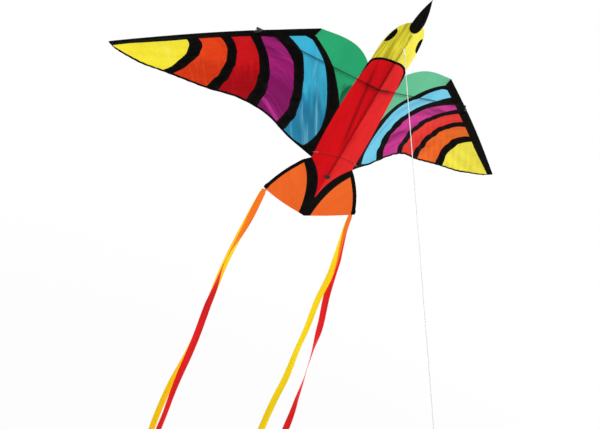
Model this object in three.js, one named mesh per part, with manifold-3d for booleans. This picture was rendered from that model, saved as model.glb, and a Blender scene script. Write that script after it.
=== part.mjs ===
// Delta kite in the shape of a bird, seen on its belly in flight.
// Millimetres. The kite frame has +X to one wing, +Y to the back of the kite and +Z to the beak.
// The flight group then leans the kite forward, so that its ribbons hang straight down -Z.
// The origin is the tow point, on the belly seam.
import * as THREE from 'three';
import { mergeVertices } from 'three/addons/utils/BufferGeometryUtils.js';
import Module from 'manifold-3d';

const wasm = await Module();
wasm.setup();

const { lerp, clamp, smoothstep, degToRad } = THREE.MathUtils;
const vec = (x, y, z) => new THREE.Vector3(x, y, z);
const steps = (count) => Array.from({ length: count + 1 }, (_, k) => k / count);

// Driving dimensions: cloth and fits
const CLOTH = 0.8;
const SLEEVE_CLOTH = 0.6;
const RIBBON_CLOTH = 0.6;
const SEAM_GAP = 0.4;
const SLEEVE_GAP = 0.6;
const APPLIQUE_GAP = 0.45;
const RUN_CLEARANCE = 0.35;
const FLIGHT_LEAN_DEG = 13;

// Driving dimensions: the sail
const HALF_SPAN = 754;
const SHOULDER_X = 249;
const SHOULDER_BACK = 55;
const SHOULDER_BELOW_TOW = 50;
const WING_RISE_DEG = 20.5;
const WING_SWEEP_DEG = 32;
const EDGE_PITCH_DEG = 36;
const LEADING_BOW = 8;
const NECK_HALF_WIDTH = 67;
const NECK_BACK = 27;
const NECK_BELOW_TOW = 90;
const NECK_CURVE_RISE = 59;
const RUMP_HALF_WIDTH = 78;
const RUMP_BACK = 33;
const BODY_LENGTH = 344;
const RUMP_Z = -NECK_BELOW_TOW - BODY_LENGTH;
const FLANK_SWELL = 7;
const TIP_CHORD = 22;
const FORE_BILLOW = 5;
const AFT_BILLOW = 32;
const HEM_WIDTH = 4;
// How far the trailing edge stands back from, and below, the straight line from rump to wing tip
const TRAILING_BACK = [0, 22, 39, 67, 83, 85, 66, 38, 0];
const TRAILING_DROP = [0, -24, -50, -44, -18, -1, 10, 12, 0];

// Driving dimensions: belly seam, spine and batten
const SEAM_TILT_DEG = 2.66;
const SPINE_RADIUS = 2.5;
const SPINE_TOP = 42;
const SPINE_BOTTOM = RUMP_Z - 40;
const SPINE_BACKSET = 6;
const TIE_Z = SPINE_BOTTOM - 1.2;
const SPINE_SLEEVE_TOP = -14;
const SPINE_SLEEVE_BOTTOM = RUMP_Z - 26;
const WEB_CLEARANCE = 0.75;
const WEB_HALF_THICKNESS = 0.3;
const CAP_LENGTH = 12;
const CAP_WALL = 0.9;
const CAP_END = 2.5;
const TIE_BUTTON = { halfWidth: 5.5, halfDepth: 2, halfLength: 7 };
const TIE_PIN_RADIUS = 1.5;
const TIE_HOLE_RADIUS = 2.6;
const TOW_HOLE_RADIUS = 3.3;
const BATTEN_RADIUS = 1.2;
const BATTEN_Z = RUMP_Z + 35;
const BATTEN_SWEEP = 17;
const BATTEN_REACH = 84;
const BELLY_ROUNDING_REACH = 90;

// Driving dimensions: leading edge, spreader and connector
const EDGE_ROD_RADIUS = 2.4;
const EDGE_SLEEVE_WIDTH = 17;
const SPREADER_RADIUS = 2;
const SPREADER_Z = -154;
const SPREADER_SIDE_X = 401.6;
const SPREADER_END_GAP = 14;
const CONNECTOR_LENGTH = 14;
const CONNECTOR_WALL = 1.6;
const CONNECTOR_BACKSET = 10.5;
const SOCKET_LENGTH = 44;
const TUBE_HALF_LENGTH = 45;
const TUBE_WALL = 1.6;
const TUBE_BEND = 12;

// Driving dimensions: head, eyes and beak
const COLLAR_Z = -55;
const COLLAR_WIDTH = 6;
const HEAD_TOP = 85;
const HEAD_DEPTH = 22;
const HEAD_SQUARENESS = 3.5;
const EYE_CENTRE_Z = 19;
const EYE_HALF_LENGTH = 25;
const EYE_WIDTH = 15;
const BEAK_BASE_Z = 52;
const BEAK_WIDE_Z = 80;
const BEAK_TIP_Z = 166;
const BEAK_HALF_WIDTH = 21;
const BEAK_FULLNESS = 4.5;
const BEAK_SEAM_GAP = 1.5 * SEAM_GAP;
const BEAK_TAPER = 1.7;

// Driving dimensions: tail
const TAIL_TIP_Z = RUMP_Z - 196;
const TAIL_VEE_Z = RUMP_Z - 124;
const TAIL_BACK = 39;
const TAIL_START = { x: 98.5, z: RUMP_Z - 18 };
const TAIL_CORNER = { x: 176, z: RUMP_Z - 144 };
// Points that draw the inner and the outer edge of the vee stripe towards them
const VEE_BEND = { x: 12, back: 26, z: RUMP_Z - 46 };
const STRIPE_BEND = { x: 32, back: 33, z: RUMP_Z - 76 };
const TAIL_EDGE_BOW = 7;
const TAIL_EDGE_WIDTH = 13;
const TAIL_ROD_RADIUS = 1.5;
const TAIL_STRIPE_FOOT = 22;

// Driving dimensions: ribbons, tow loop and flying line
const RIBBON_WIDTH = 22;
const RIBBON_LENGTH = 950;
const RIBBON_NECK_WIDTH = 9;
const RIBBON_NECK_LENGTH = 30;
const RIBBON_SPACING = 1.2;
const RIBBON_SPREAD = 28;
const LINE_RADIUS = 1.2;
const LINE_LENGTH = 1250;
const LINE_FROM_VERTICAL_DEG = 43.5;
const TOW_CORD_RADIUS = 0.9;
const TOW_LOOP_LENGTH = 19;
const KNOT_RADIUS = 3;
const HAND_LOOP_LENGTH = 44;
const HAND_LOOP_WIDTH = 18;

// Colours and surfaces
const finish = (color, roughness) => ({ color, roughness, metalness: 0, side: THREE.DoubleSide });
const CLOTH_YELLOW = finish(0xf7e83c, 0.55);
const CLOTH_ORANGE = finish(0xf05a23, 0.55);
const CLOTH_RED = finish(0xdc191e, 0.55);
const CLOTH_PURPLE = finish(0xaa1e6e, 0.55);
const CLOTH_BLUE = finish(0x46b4d7, 0.55);
const CLOTH_GREEN = finish(0x32af7d, 0.55);
const CLOTH_BLACK = finish(0x14120f, 0.6);
const GLASS_FIBRE = finish(0x1b1b1d, 0.35);
const PALE_FIBRE = finish(0xcfcabd, 0.4);
const MOULDED_BLACK = finish(0x101010, 0.5);
const BRAID = finish(0xf4f4f0, 0.7);

// Closed meshes

function closedGeometry(positions, triangles) {
  const geometry = new THREE.BufferGeometry();
  geometry.setAttribute('position', new THREE.Float32BufferAttribute(positions, 3));
  geometry.setIndex(triangles);
  return mergeVertices(geometry, 1e-4);
}

// Cloth of even thickness on one or more grids of points; grids that share points join.
function clothSolid(grids, thickness = CLOTH) {
  const points = [];
  const index = new Map();
  const triangles = [];
  const pointIndex = (p) => {
    const key = [p.x, p.y, p.z].map((value) => value.toFixed(3)).join();
    if (!index.has(key)) {
      index.set(key, points.length);
      points.push(p);
    }
    return index.get(key);
  };
  for (const grid of grids) {
    const ids = grid.map((row) => row.map(pointIndex));
    for (let j = 0; j + 1 < ids.length; j += 1) {
      for (let i = 0; i + 1 < ids[j].length; i += 1) {
        const quad = [ids[j][i], ids[j][i + 1], ids[j + 1][i + 1], ids[j + 1][i]];
        for (const [a, b, c] of [[quad[0], quad[1], quad[2]], [quad[0], quad[2], quad[3]]]) {
          if (a !== b && b !== c && c !== a) triangles.push([a, b, c]);
        }
      }
    }
  }
  const normals = points.map(() => vec(0, 0, 0));
  const rim = new Map();
  for (const [a, b, c] of triangles) {
    const normal = points[b].clone().sub(points[a]).cross(points[c].clone().sub(points[a]));
    for (const corner of [a, b, c]) normals[corner].add(normal);
    for (const [from, to] of [[a, b], [b, c], [c, a]]) {
      if (!rim.delete(`${to},${from}`)) rim.set(`${from},${to}`, [from, to]);
    }
  }
  const positions = [];
  for (const side of [0.5, -0.5]) {
    points.forEach((p, i) => {
      const out = normals[i].clone().normalize().multiplyScalar(side * thickness).add(p);
      positions.push(out.x, out.y, out.z);
    });
  }
  const below = points.length;
  const faces = triangles.flatMap(([a, b, c]) => [a, b, c, below + c, below + b, below + a]);
  for (const [a, b] of rim.values()) {
    faces.push(a, below + a, below + b, a, below + b, b);
  }
  return closedGeometry(positions, faces);
}

function signedVolume(geometry) {
  const position = geometry.getAttribute('position');
  const id = geometry.getIndex().array;
  const corner = (t) => new THREE.Vector3().fromBufferAttribute(position, id[t]);
  let sum = 0;
  for (let t = 0; t < id.length; t += 3) {
    sum += corner(t).dot(corner(t + 1).cross(corner(t + 2)));
  }
  return sum / 6;
}

function turnedOver(geometry) {
  const id = geometry.getIndex().array;
  for (let t = 0; t < id.length; t += 3) {
    [id[t + 1], id[t + 2]] = [id[t + 2], id[t + 1]];
  }
  return geometry;
}

const facingOut = (geometry) => (signedVolume(geometry) < 0 ? turnedOver(geometry) : geometry);
const mirrored = (geometry) => turnedOver(geometry.clone().scale(-1, 1, 1));

// The strip of faces between two neighbouring rings of count points each
function strip(first, second, count) {
  return Array.from({ length: count }, (_, i) => {
    const next = (i + 1) % count;
    return [first + i, first + next, second + next, first + i, second + next, second + i];
  }).flat();
}

const coordinates = (rings) => rings.flat().flatMap((p) => [p.x, p.y, p.z]);

// A body through closed rings of points, shut at both ends
function loft(rings) {
  const count = rings[0].length;
  const faces = [];
  for (let k = 0; k + 1 < rings.length; k += 1) faces.push(...strip(k * count, (k + 1) * count, count));
  const last = (rings.length - 1) * count;
  for (let i = 1; i + 1 < count; i += 1) {
    faces.push(0, i + 1, i, last, last + i, last + i + 1);
  }
  return facingOut(closedGeometry(coordinates(rings), faces));
}

// A tunnel: an outer skin and a bore through it, joined by flat ends
function tunnel(outer, inner) {
  const count = outer[0].length;
  const bore = outer.length * count;
  const last = bore - count;
  const faces = [...strip(bore, 0, count), ...strip(last, bore + last, count)];
  for (let k = 0; k + 1 < outer.length; k += 1) {
    faces.push(...strip(k * count, (k + 1) * count, count));
    faces.push(...strip(bore + (k + 1) * count, bore + k * count, count));
  }
  return facingOut(closedGeometry(coordinates([...outer, ...inner]), faces));
}

function asSolid(geometry) {
  const bare = geometry.clone();
  bare.deleteAttribute('normal');
  bare.deleteAttribute('uv');
  const merged = mergeVertices(bare, 1e-4);
  return new wasm.Manifold(new wasm.Mesh({
    numProp: 3,
    vertProperties: new Float32Array(merged.getAttribute('position').array),
    triVerts: new Uint32Array(merged.getIndex().array),
  }));
}

function fromSolid(solid) {
  const mesh = solid.getMesh();
  return closedGeometry(Array.from(mesh.vertProperties), Array.from(mesh.triVerts));
}

// Section points laid on two axes at a centre
const ringAt = (centre, across, lift, section) => section.map(
  ([u, w]) => centre.clone().addScaledVector(across, u).addScaledVector(lift, w),
);

const circle = (radius, sides) => Array.from({ length: sides }, (_, i) => {
  const angle = ((i + 0.5) * 2 * Math.PI) / sides;
  return [radius * Math.cos(angle), radius * Math.sin(angle)];
});

function tangentAt(points, k, closed = false) {
  const count = points.length;
  const after = closed ? (k + 1) % count : Math.min(k + 1, count - 1);
  const before = closed ? (k + count - 1) % count : Math.max(k - 1, 0);
  return points[after].clone().sub(points[before]).normalize();
}

function rodAlong(points, radius, sides = 8) {
  const rings = points.map((p, k) => {
    const along = tangentAt(points, k);
    const across = along.clone().cross(vec(0.02, 1, 0.013)).normalize();
    return ringAt(p, across, along.clone().cross(across), circle(radius, sides));
  });
  return loft(rings);
}

// A cord that closes on itself; planeNormal is never along the cord
function closedCord(points, planeNormal, radius, sides = 6) {
  const rings = points.map((p, k) => {
    const across = tangentAt(points, k, true).cross(planeNormal).normalize();
    return ringAt(p, across, planeNormal, circle(radius, sides));
  });
  const faces = rings.flatMap((_, k) => strip(k * sides, ((k + 1) % rings.length) * sides, sides));
  return facingOut(closedGeometry(coordinates(rings), faces));
}

function cylinderBetween(from, to, radius, sides = 16) {
  const along = to.clone().sub(from);
  const geometry = new THREE.CylinderGeometry(radius, radius, along.length(), sides);
  const turn = new THREE.Quaternion().setFromUnitVectors(vec(0, 1, 0), along.clone().normalize());
  return geometry.applyQuaternion(turn).translate(...from.clone().add(to).multiplyScalar(0.5).toArray());
}

const bezierPoint = (a, b, c, t) => new THREE.QuadraticBezierCurve3(a, b, c).getPoint(t);

function bezier4(a, b, c, d, t) {
  const u = 1 - t;
  return a * u ** 3 + 3 * b * t * u ** 2 + 3 * c * t ** 2 * u + d * t ** 3;
}

// The sail as one surface: station s runs from body to tip, v from leading to trailing edge

const neck = vec(NECK_HALF_WIDTH, NECK_BACK, -NECK_BELOW_TOW);
const rump = vec(RUMP_HALF_WIDTH, RUMP_BACK, RUMP_Z);
const shoulder = vec(SHOULDER_X, SHOULDER_BACK, -SHOULDER_BELOW_TOW);
const edgeRun = HALF_SPAN - SHOULDER_X;
const wingTip = shoulder.clone().add(vec(
  edgeRun,
  edgeRun * Math.tan(degToRad(WING_RISE_DEG)),
  -edgeRun * Math.tan(degToRad(WING_SWEEP_DEG)),
));
const tipChordDirection = vec(-0.76, 0.25, -0.6).normalize();
const tipRear = wingTip.clone().addScaledVector(tipChordDirection, TIP_CHORD);
const wingReach = HALF_SPAN - NECK_HALF_WIDTH;
const stationOf = (x) => (x - NECK_HALF_WIDTH) / wingReach;
const shoulderStation = stationOf(SHOULDER_X);
const sideStation = stationOf(SPREADER_SIDE_X);

// The free edge from neck to shoulder is a smooth curve; past it the edge is a bowed rod.
function leadingEdge(s) {
  if (s < shoulderStation) {
    const t = s / shoulderStation;
    return vec(
      lerp(neck.x, shoulder.x, t),
      bezier4(neck.y, neck.y, shoulder.y - 1, shoulder.y, t),
      bezier4(neck.z, neck.z + NECK_CURVE_RISE, shoulder.z, shoulder.z, t),
    );
  }
  const t = (s - shoulderStation) / (1 - shoulderStation);
  return shoulder.clone().lerp(wingTip, t).add(vec(0, 0, LEADING_BOW * Math.sin(Math.PI * t)));
}

const trailingCurve = new THREE.CatmullRomCurve3(TRAILING_BACK.map((back, k) => {
  const t = k / (TRAILING_BACK.length - 1);
  return rump.clone().lerp(tipRear, t).add(vec(0, back, -TRAILING_DROP[k]));
}), false, 'catmullrom', 0.5);
const trailingEdge = (s) => trailingCurve.getPoint(clamp(s, 0, 1));

// Belly seam, spine and spreader lines
const seamTilt = Math.tan(degToRad(SEAM_TILT_DEG));
const seamBack = (z) => -z * seamTilt;
const spineAt = (z) => vec(0, seamBack(z) + SPINE_BACKSET, z);
const spineSleeveRadius = SPINE_RADIUS + RUN_CLEARANCE + SLEEVE_CLOTH;
const tubeRadius = SPREADER_RADIUS + RUN_CLEARANCE + TUBE_WALL;
const socketRadius = SPREADER_RADIUS + RUN_CLEARANCE + CONNECTOR_WALL;
// At the connector the sail falls away behind the leading edge at the pitch angle
const edgePitch = degToRad(EDGE_PITCH_DEG);
const spreaderOuter = leadingEdge(sideStation)
  .add(vec(0, Math.sin(edgePitch), -Math.cos(edgePitch)).multiplyScalar(2 * EDGE_ROD_RADIUS))
  .add(vec(0, Math.cos(edgePitch), Math.sin(edgePitch)).multiplyScalar(CONNECTOR_BACKSET));
const spineSleeveBack = seamBack(SPREADER_Z) + SPINE_BACKSET + spineSleeveRadius;
const tubeCentreBack = spineSleeveBack + RUN_CLEARANCE + tubeRadius;
const spreaderRise = (spreaderOuter.y - tubeCentreBack) / (spreaderOuter.x - TUBE_BEND / 2);
const spreaderInner = vec(0, tubeCentreBack - (spreaderRise * TUBE_BEND) / 2, SPREADER_Z);
const spreaderAlong = spreaderOuter.clone().sub(spreaderInner).normalize();
const spreaderAtX = (x) => spreaderInner.clone().addScaledVector(spreaderAlong, x / spreaderAlong.x);

const SPREADER_TO_SAIL = socketRadius + CLOTH / 2 + 3.4;
const BILLOW_TAPER = 0.8;
const BILLOW_SKEW = 0.85;
const BILLOW_ONSET = 80;
const CROSSING_FADE = 20;

// Straight chord, flank swell, billow fore and aft of the spreader, and a dent that clears its rod
function sailPoint(s, v) {
  const front = leadingEdge(s);
  const rear = trailingEdge(s);
  const point = front.clone().lerp(rear, v);
  const outboard = s * wingReach;
  const onset = clamp(outboard / BILLOW_ONSET, 0, 1);
  const inboard = clamp((SPREADER_SIDE_X - front.x) / CROSSING_FADE, 0, 1);
  const swell = FLANK_SWELL * (1 - onset) * 4 * v * (1 - v);
  point.add(vec(swell, 0.4 * swell, 0));
  const spreader = spreaderAtX(front.x);
  const crossing = clamp((front.z - spreader.z) / (front.z - rear.z), 0.001, 0.999);
  if (v < crossing) {
    point.y += FORE_BILLOW * inboard * onset * Math.sin((Math.PI * v) / crossing);
  } else {
    const t = (v - crossing) / (1 - crossing);
    point.y += AFT_BILLOW * onset * (1 - s) ** BILLOW_TAPER * Math.sin(Math.PI * t ** BILLOW_SKEW);
  }
  const dent = Math.min(0, spreader.y - SPREADER_TO_SAIL - lerp(front.y, rear.y, crossing));
  const tent = v < crossing ? v / crossing : (1 - v) / (1 - crossing);
  point.y += dent * inboard * onset * tent ** 2;
  return point;
}

// The chord's length at a station, and the sine of its angle to the leading edge rod
function chordAt(s) {
  const chord = trailingEdge(s).sub(leadingEdge(s));
  const at = clamp(s, shoulderStation, 0.99);
  const along = leadingEdge(at + 0.01).sub(leadingEdge(at)).normalize();
  return { length: chord.length(), sine: along.cross(chord.clone().normalize()).length() };
}

function sleeveEdge(s) {
  const { length, sine } = chordAt(s);
  return EDGE_SLEEVE_WIDTH / (length * sine);
}

const hemEdge = (s) => 1 - HEM_WIDTH / chordAt(s).length;
const onWing = (s, f) => sailPoint(s, lerp(sleeveEdge(s), hemEdge(s), f));

// Colour seams: each crosses the wing on a smooth curve through four stations, in millimetres
// outboard of the flank, from the leading edge (first) to the trailing edge (last).
const TIP_STATION = 0.985;
const SEAM_CURVES = {
  yellow: [520, 440, 448, 496],
  yellowBand: [505, 398, 420, 466],
  orange: [443, 342, 316, 352],
  orangeBand: [417, 329, 291, 322],
  red: [358, 291, 203, 235],
  redBand: [334, 284, 170, 207],
  purple: [306, 218, 66, 136],
  purpleBand: [282, 172, 46, 112],
  blue: [262, 40, -35, 40],
};
const GREEN_REACH = 0.47;
const GREEN_TAPER = 1.2;
const crossSeam = (name) => (v) => clamp(bezier4(...SEAM_CURVES[name], v) / wingReach, 0, 1);
const tipSeam = () => TIP_STATION;
const greenStart = sleeveEdge(shoulderStation);

// The inner seam of the last band: along the sleeve's end, then over to the flank, then down it
function flankSeam(v) {
  const share = clamp((v - greenStart) / (GREEN_REACH - greenStart), 0, 1);
  return shoulderStation * (1 - share) ** GREEN_TAPER;
}

// The station of a seam at fraction f of the way from sleeve to hem
function seamStation(seam, f) {
  let s = shoulderStation;
  for (let k = 0; k < 16; k += 1) s = seam(lerp(sleeveEdge(s), hemEdge(s), f));
  return s;
}

// Rows lie closer together towards the leading edge, where the spreader crosses.
const SAIL_ROWS = steps(14).map((t) => t ** 1.35);

function panelGrid([outerSeam, innerSeam], columns, sideGap, hemGap) {
  return SAIL_ROWS.map((f) => {
    const outer = seamStation(outerSeam, f) - sideGap / wingReach;
    const inner = seamStation(innerSeam, f) + sideGap / wingReach;
    return steps(columns).map((c) => {
      const s = lerp(inner, outer, c);
      const { length } = chordAt(s);
      return onWing(s, lerp(SLEEVE_GAP / length, 1 - hemGap / length, f));
    });
  });
}

const WING_PANELS = {
  yellow: [tipSeam, crossSeam('yellow'), 8],
  orange: [crossSeam('yellowBand'), crossSeam('orange'), 4],
  red: [crossSeam('orangeBand'), crossSeam('red'), 4],
  purple: [crossSeam('redBand'), crossSeam('purple'), 4],
  blue: [crossSeam('purpleBand'), crossSeam('blue'), 4],
};

function wingPanel(name) {
  const [outerSeam, innerSeam, columns] = WING_PANELS[name];
  return clothSolid([panelGrid([outerSeam, innerSeam], columns, SEAM_GAP / 2, SEAM_GAP)]);
}

// The corner panel between flank, free edge and the last band
function greenPanel() {
  const rows = steps(12).map((f) => {
    const v = f * (GREEN_REACH - 0.012);
    const outer = flankSeam(v) - SEAM_GAP / wingReach;
    const inner = SEAM_GAP / wingReach;
    return steps(6).map((c) => sailPoint(lerp(inner, outer, c), v));
  });
  return clothSolid([rows]);
}

const BANDS = [
  [crossSeam('yellow'), crossSeam('yellowBand')],
  [crossSeam('orange'), crossSeam('orangeBand')],
  [crossSeam('red'), crossSeam('redBand')],
  [crossSeam('purple'), crossSeam('purpleBand')],
  [crossSeam('blue'), flankSeam],
];
const BAND_SIDE_GAP = SEAM_GAP / 4;

// Stations of a panel's or band's columns where it meets the hem
function footStations([outerSeam, innerSeam], columns, sideGap) {
  const low = seamStation(innerSeam, 1) + sideGap / wingReach;
  const high = seamStation(outerSeam, 1) - sideGap / wingReach;
  return steps(columns).map((c) => lerp(low, high, c));
}

// Black trim: the hem of the trailing edge with the bands that run up from it to the sleeve
function wingTrim() {
  const bands = BANDS.map((seams) => panelGrid(seams, 2, BAND_SIDE_GAP, 0));
  const feet = BANDS.flatMap((seams, k) => {
    const lastRow = bands[k][SAIL_ROWS.length - 1];
    return footStations(seams, 2, BAND_SIDE_GAP).map((s, c) => [s, lastRow[c]]);
  });
  const free = Object.values(WING_PANELS).flatMap(([outerSeam, innerSeam, columns]) => (
    footStations([outerSeam, innerSeam], columns, SEAM_GAP / 2).slice(1, -1)
  ));
  const top = [...feet, ...[...free, TIP_STATION].map((s) => [s, onWing(s, 1)])];
  top.sort((a, b) => a[0] - b[0]);
  const hem = [top.map(([, point]) => point), top.map(([s]) => sailPoint(s, 1))];
  return clothSolid([...bands, hem]);
}

// Leading edge: a rod in two lengths of sleeve, with the spreader's connector between them

const edgeSleeveRadius = EDGE_ROD_RADIUS + RUN_CLEARANCE + SLEEVE_CLOTH;
const NOSE_DEG = [90, 120, 150, 180, 210, 240, 270];
const HEM_DEG = [315, 0, 45];

// Axes of a sleeve section: into the sail along the chord, and square to the sail
function edgeAxes(s) {
  const from = Math.max(s - 0.004, shoulderStation);
  const along = leadingEdge(from + 0.008).sub(leadingEdge(from)).normalize();
  const into = sailPoint(s, sleeveEdge(s)).sub(leadingEdge(s)).divideScalar(EDGE_SLEEVE_WIDTH);
  const back = along.clone().cross(into).normalize();
  return { along, into, back: back.y < 0 ? back.negate() : back };
}

const edgeRodAt = (s) => leadingEdge(s).addScaledVector(edgeAxes(s).into, edgeSleeveRadius);

// Teardrop: round where the rod lies, drawn out to a flat hem
function teardrop(radius, width) {
  const nose = NOSE_DEG.map(degToRad).map((a) => [radius * (1 + Math.cos(a)), radius * Math.sin(a)]);
  return [...nose, [width, -CLOTH / 2], [width, 0], [width, CLOTH / 2]];
}

const sleeveBore = (centre, radius) => [...NOSE_DEG, ...HEM_DEG].map(degToRad).map(
  (a) => [centre + radius * Math.cos(a), radius * Math.sin(a)],
);

function edgeSleeve(stations) {
  const rings = (section) => stations.map((s) => {
    const { into, back } = edgeAxes(s);
    return ringAt(leadingEdge(s), into, back, section);
  });
  const bore = sleeveBore(edgeSleeveRadius, EDGE_ROD_RADIUS + RUN_CLEARANCE);
  return tunnel(rings(teardrop(edgeSleeveRadius, EDGE_SLEEVE_WIDTH)), rings(bore));
}

const rodReach = leadingEdge(1).distanceTo(leadingEdge(shoulderStation));
const edgeLengthPerStation = rodReach / (1 - shoulderStation);
// The sleeves end along the sail's chord, so their hems reach further towards the connector.
const MOUTH_CLEARANCE = 5.8;
const sleeveMouth = (CONNECTOR_LENGTH / 2 + MOUTH_CLEARANCE) / edgeLengthPerStation;
const innerSleeveStations = steps(6).map(
  (t) => lerp(shoulderStation + SEAM_GAP / wingReach, sideStation - sleeveMouth, t),
);
const outerSleeveStations = steps(10).map((t) => lerp(sideStation + sleeveMouth, TIP_STATION, t));
const ROD_END_INSET = 4;

// The rod bends at the sleeves' own sections, and stops a little inside their far ends.
function edgeRod() {
  const points = [...innerSleeveStations, ...outerSleeveStations].map(edgeRodAt);
  const inset = (end, next) => end.add(next.clone().sub(end).setLength(ROD_END_INSET));
  inset(points[0], points[1]);
  inset(points[points.length - 1], points[points.length - 2]);
  return rodAlong(points, EDGE_ROD_RADIUS);
}

// The closed pocket at the wing tip, from sleeve and hem to a rounded end
function tipPocket() {
  const start = TIP_STATION + SLEEVE_GAP / wingReach;
  const rings = [[start, 1, 0.94], [0.994, 0.8, 0.85], [1, 0.45, 0.45]].map(([s, fullness, width]) => {
    const front = leadingEdge(s);
    const chord = trailingEdge(s).sub(front);
    const into = chord.clone().normalize();
    const { back } = edgeAxes(TIP_STATION);
    const section = teardrop(edgeSleeveRadius * fullness, chord.length() * width);
    return ringAt(front, into, back, section);
  });
  return loft(rings);
}

// Moulded connector: a barrel on the leading edge rod, with a socket behind it for the spreader
function connector() {
  const { along } = edgeAxes(sideStation);
  const centre = edgeRodAt(sideStation);
  const barrelRadius = EDGE_ROD_RADIUS + RUN_CLEARANCE + CONNECTOR_WALL;
  const onRod = (reach, radius) => asSolid(cylinderBetween(
    centre.clone().addScaledVector(along, -reach),
    centre.clone().addScaledVector(along, reach),
    radius,
  ));
  const onSpreader = (from, to, radius) => asSolid(cylinderBetween(socketAt(from), socketAt(to), radius));
  const saddle = asSolid(cylinderBetween(centre, socketAt(-socketRadius), 0.85 * barrelRadius));
  return fromSolid(onRod(CONNECTOR_LENGTH / 2, barrelRadius).add(saddle)
    .add(onSpreader(-SOCKET_LENGTH, 0.5 * socketRadius, socketRadius))
    .add(onSpreader(-SOCKET_LENGTH, 3 - SOCKET_LENGTH, socketRadius + 0.5))
    .subtract(onRod(CONNECTOR_LENGTH / 2 + 1, EDGE_ROD_RADIUS + RUN_CLEARANCE))
    .subtract(onSpreader(-SOCKET_LENGTH - 1, -3, SPREADER_RADIUS + RUN_CLEARANCE)));
}

const socketAt = (beyond) => spreaderOuter.clone().addScaledVector(spreaderAlong, beyond);
const spreaderRod = () => rodAlong([spreaderAtX(SPREADER_END_GAP), socketAt(-3.5)], SPREADER_RADIUS);

// Belly halves, from the arched collar down the flank to the point of the tail's vee

const collarDrop = (w) => 1 - Math.sqrt(Math.max(1 - w * w, 0));
const wingFlank = (v) => sailPoint(0, v);
const veeBend = vec(VEE_BEND.x, VEE_BEND.back, VEE_BEND.z);
const veePoint = vec(1.6, seamBack(TAIL_VEE_Z), TAIL_VEE_Z);
const veeInner = (t) => bezierPoint(rump, veeBend, veePoint, t);
const bellyRounding = (z) => Math.exp(-(((z - BATTEN_Z) / BELLY_ROUNDING_REACH) ** 2));
const bellyBack = (x, z, edge) => (
  lerp(seamBack(z), edge.y, clamp(x / edge.x, 0, 1) ** (1 + bellyRounding(z)))
);

// A row from the seam to the edge; near the collar it keeps the collar's arch
function bellyRow(seamZ, edge, arch) {
  return steps(5).map((w) => {
    const z = lerp(seamZ, edge.z, lerp(w, collarDrop(w), arch));
    const x = lerp(SEAM_GAP, edge.x, w);
    return vec(x, bellyBack(x, z, edge), z);
  });
}

function bellyPanel() {
  const rumpSeamZ = rump.z + 20;
  const body = steps(12).map((t) => {
    const arch = Math.exp(-8 * t);
    const edge = wingFlank(t).add(vec(-SEAM_GAP, 0, -2 * SEAM_GAP * arch));
    return bellyRow(lerp(COLLAR_Z - SEAM_GAP, rumpSeamZ, t), edge, arch);
  });
  const vee = steps(7).slice(1).map((t) => {
    const edge = veeInner(t).add(vec(-SEAM_GAP, 0, SEAM_GAP));
    return bellyRow(lerp(rumpSeamZ, TAIL_VEE_Z + 1, t), edge, 0);
  });
  return fromSolid(asSolid(clothSolid([[...body, ...vee]])).subtract(seamHole(TIE_Z, TIE_HOLE_RADIUS)));
}

const seamHole = (z, radius) => {
  const reach = vec(0, 12, 0);
  const centre = vec(0, seamBack(z), z);
  return asSolid(cylinderBetween(centre.clone().sub(reach), centre.clone().add(reach), radius, 12));
};

// Bowed batten across the rump, on the belly side of the cloth
function bellyBatten() {
  const standOff = BATTEN_RADIUS + CLOTH / 2 + 0.5;
  return rodAlong(steps(16).map((t) => {
    const share = 2 * t - 1;
    const x = share * BATTEN_REACH;
    const z = BATTEN_Z - BATTEN_SWEEP * share * share;
    const edge = wingFlank(clamp((neck.z - z) / BODY_LENGTH, 0, 1));
    return vec(x, bellyBack(Math.abs(x), z, edge) - standOff, z);
  }), BATTEN_RADIUS);
}

// Head half: a shallow dome in upright columns, from the collar's arch up to a round crown

const headWidth = NECK_HALF_WIDTH - 1;
const headBaseZ = -NECK_BELOW_TOW + COLLAR_WIDTH;
const headHeight = HEAD_TOP - headBaseZ;
const headShare = (z) => clamp((z - headBaseZ) / headHeight, 0, 1);
const headHalfWidth = (z) => headWidth * Math.sqrt(Math.max(1 - headShare(z) ** HEAD_SQUARENESS, 0.0009));
const crownZ = (x) => (
  headBaseZ + headHeight * Math.max(1 - (x / headWidth) ** 2, 0) ** (1 / HEAD_SQUARENESS)
);

function collarPoint(w, lift) {
  const z = COLLAR_Z - (NECK_BELOW_TOW + COLLAR_Z) * collarDrop(w) + lift;
  return vec(lerp(SEAM_GAP, headWidth, w), lerp(seamBack(z), NECK_BACK, w), z);
}

function headBack(x, z) {
  const dome = HEAD_DEPTH * (1 - headShare(z) ** 3) * Math.min(x / headHalfWidth(z), 1) ** 1.3;
  const straight = lerp(seamBack(z), NECK_BACK, x / headWidth);
  return lerp(straight, seamBack(z) + dome, smoothstep(z, COLLAR_Z - 30, COLLAR_Z + 40));
}

const collar = () => clothSolid([[0.2, COLLAR_WIDTH - 0.2].map(
  (lift) => steps(12).map((c) => collarPoint(Math.sin((c * Math.PI) / 2), lift)),
)]);

function headPanel() {
  const rows = steps(10).map((t) => steps(12).map((c) => {
    const base = collarPoint(Math.sin((c * Math.PI) / 2), COLLAR_WIDTH + SEAM_GAP);
    const z = lerp(base.z, Math.max(crownZ(base.x), base.z), t);
    return vec(base.x, headBack(base.x, z), z);
  }));
  return fromSolid(asSolid(clothSolid([rows])).subtract(seamHole(0, TOW_HOLE_RADIUS)));
}

// Patches sewn on the head stand in front of it by their own thickness.
const onHead = (x, z, lift = 0) => vec(x, headBack(x, z) - CLOTH - APPLIQUE_GAP - lift, z);

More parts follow.
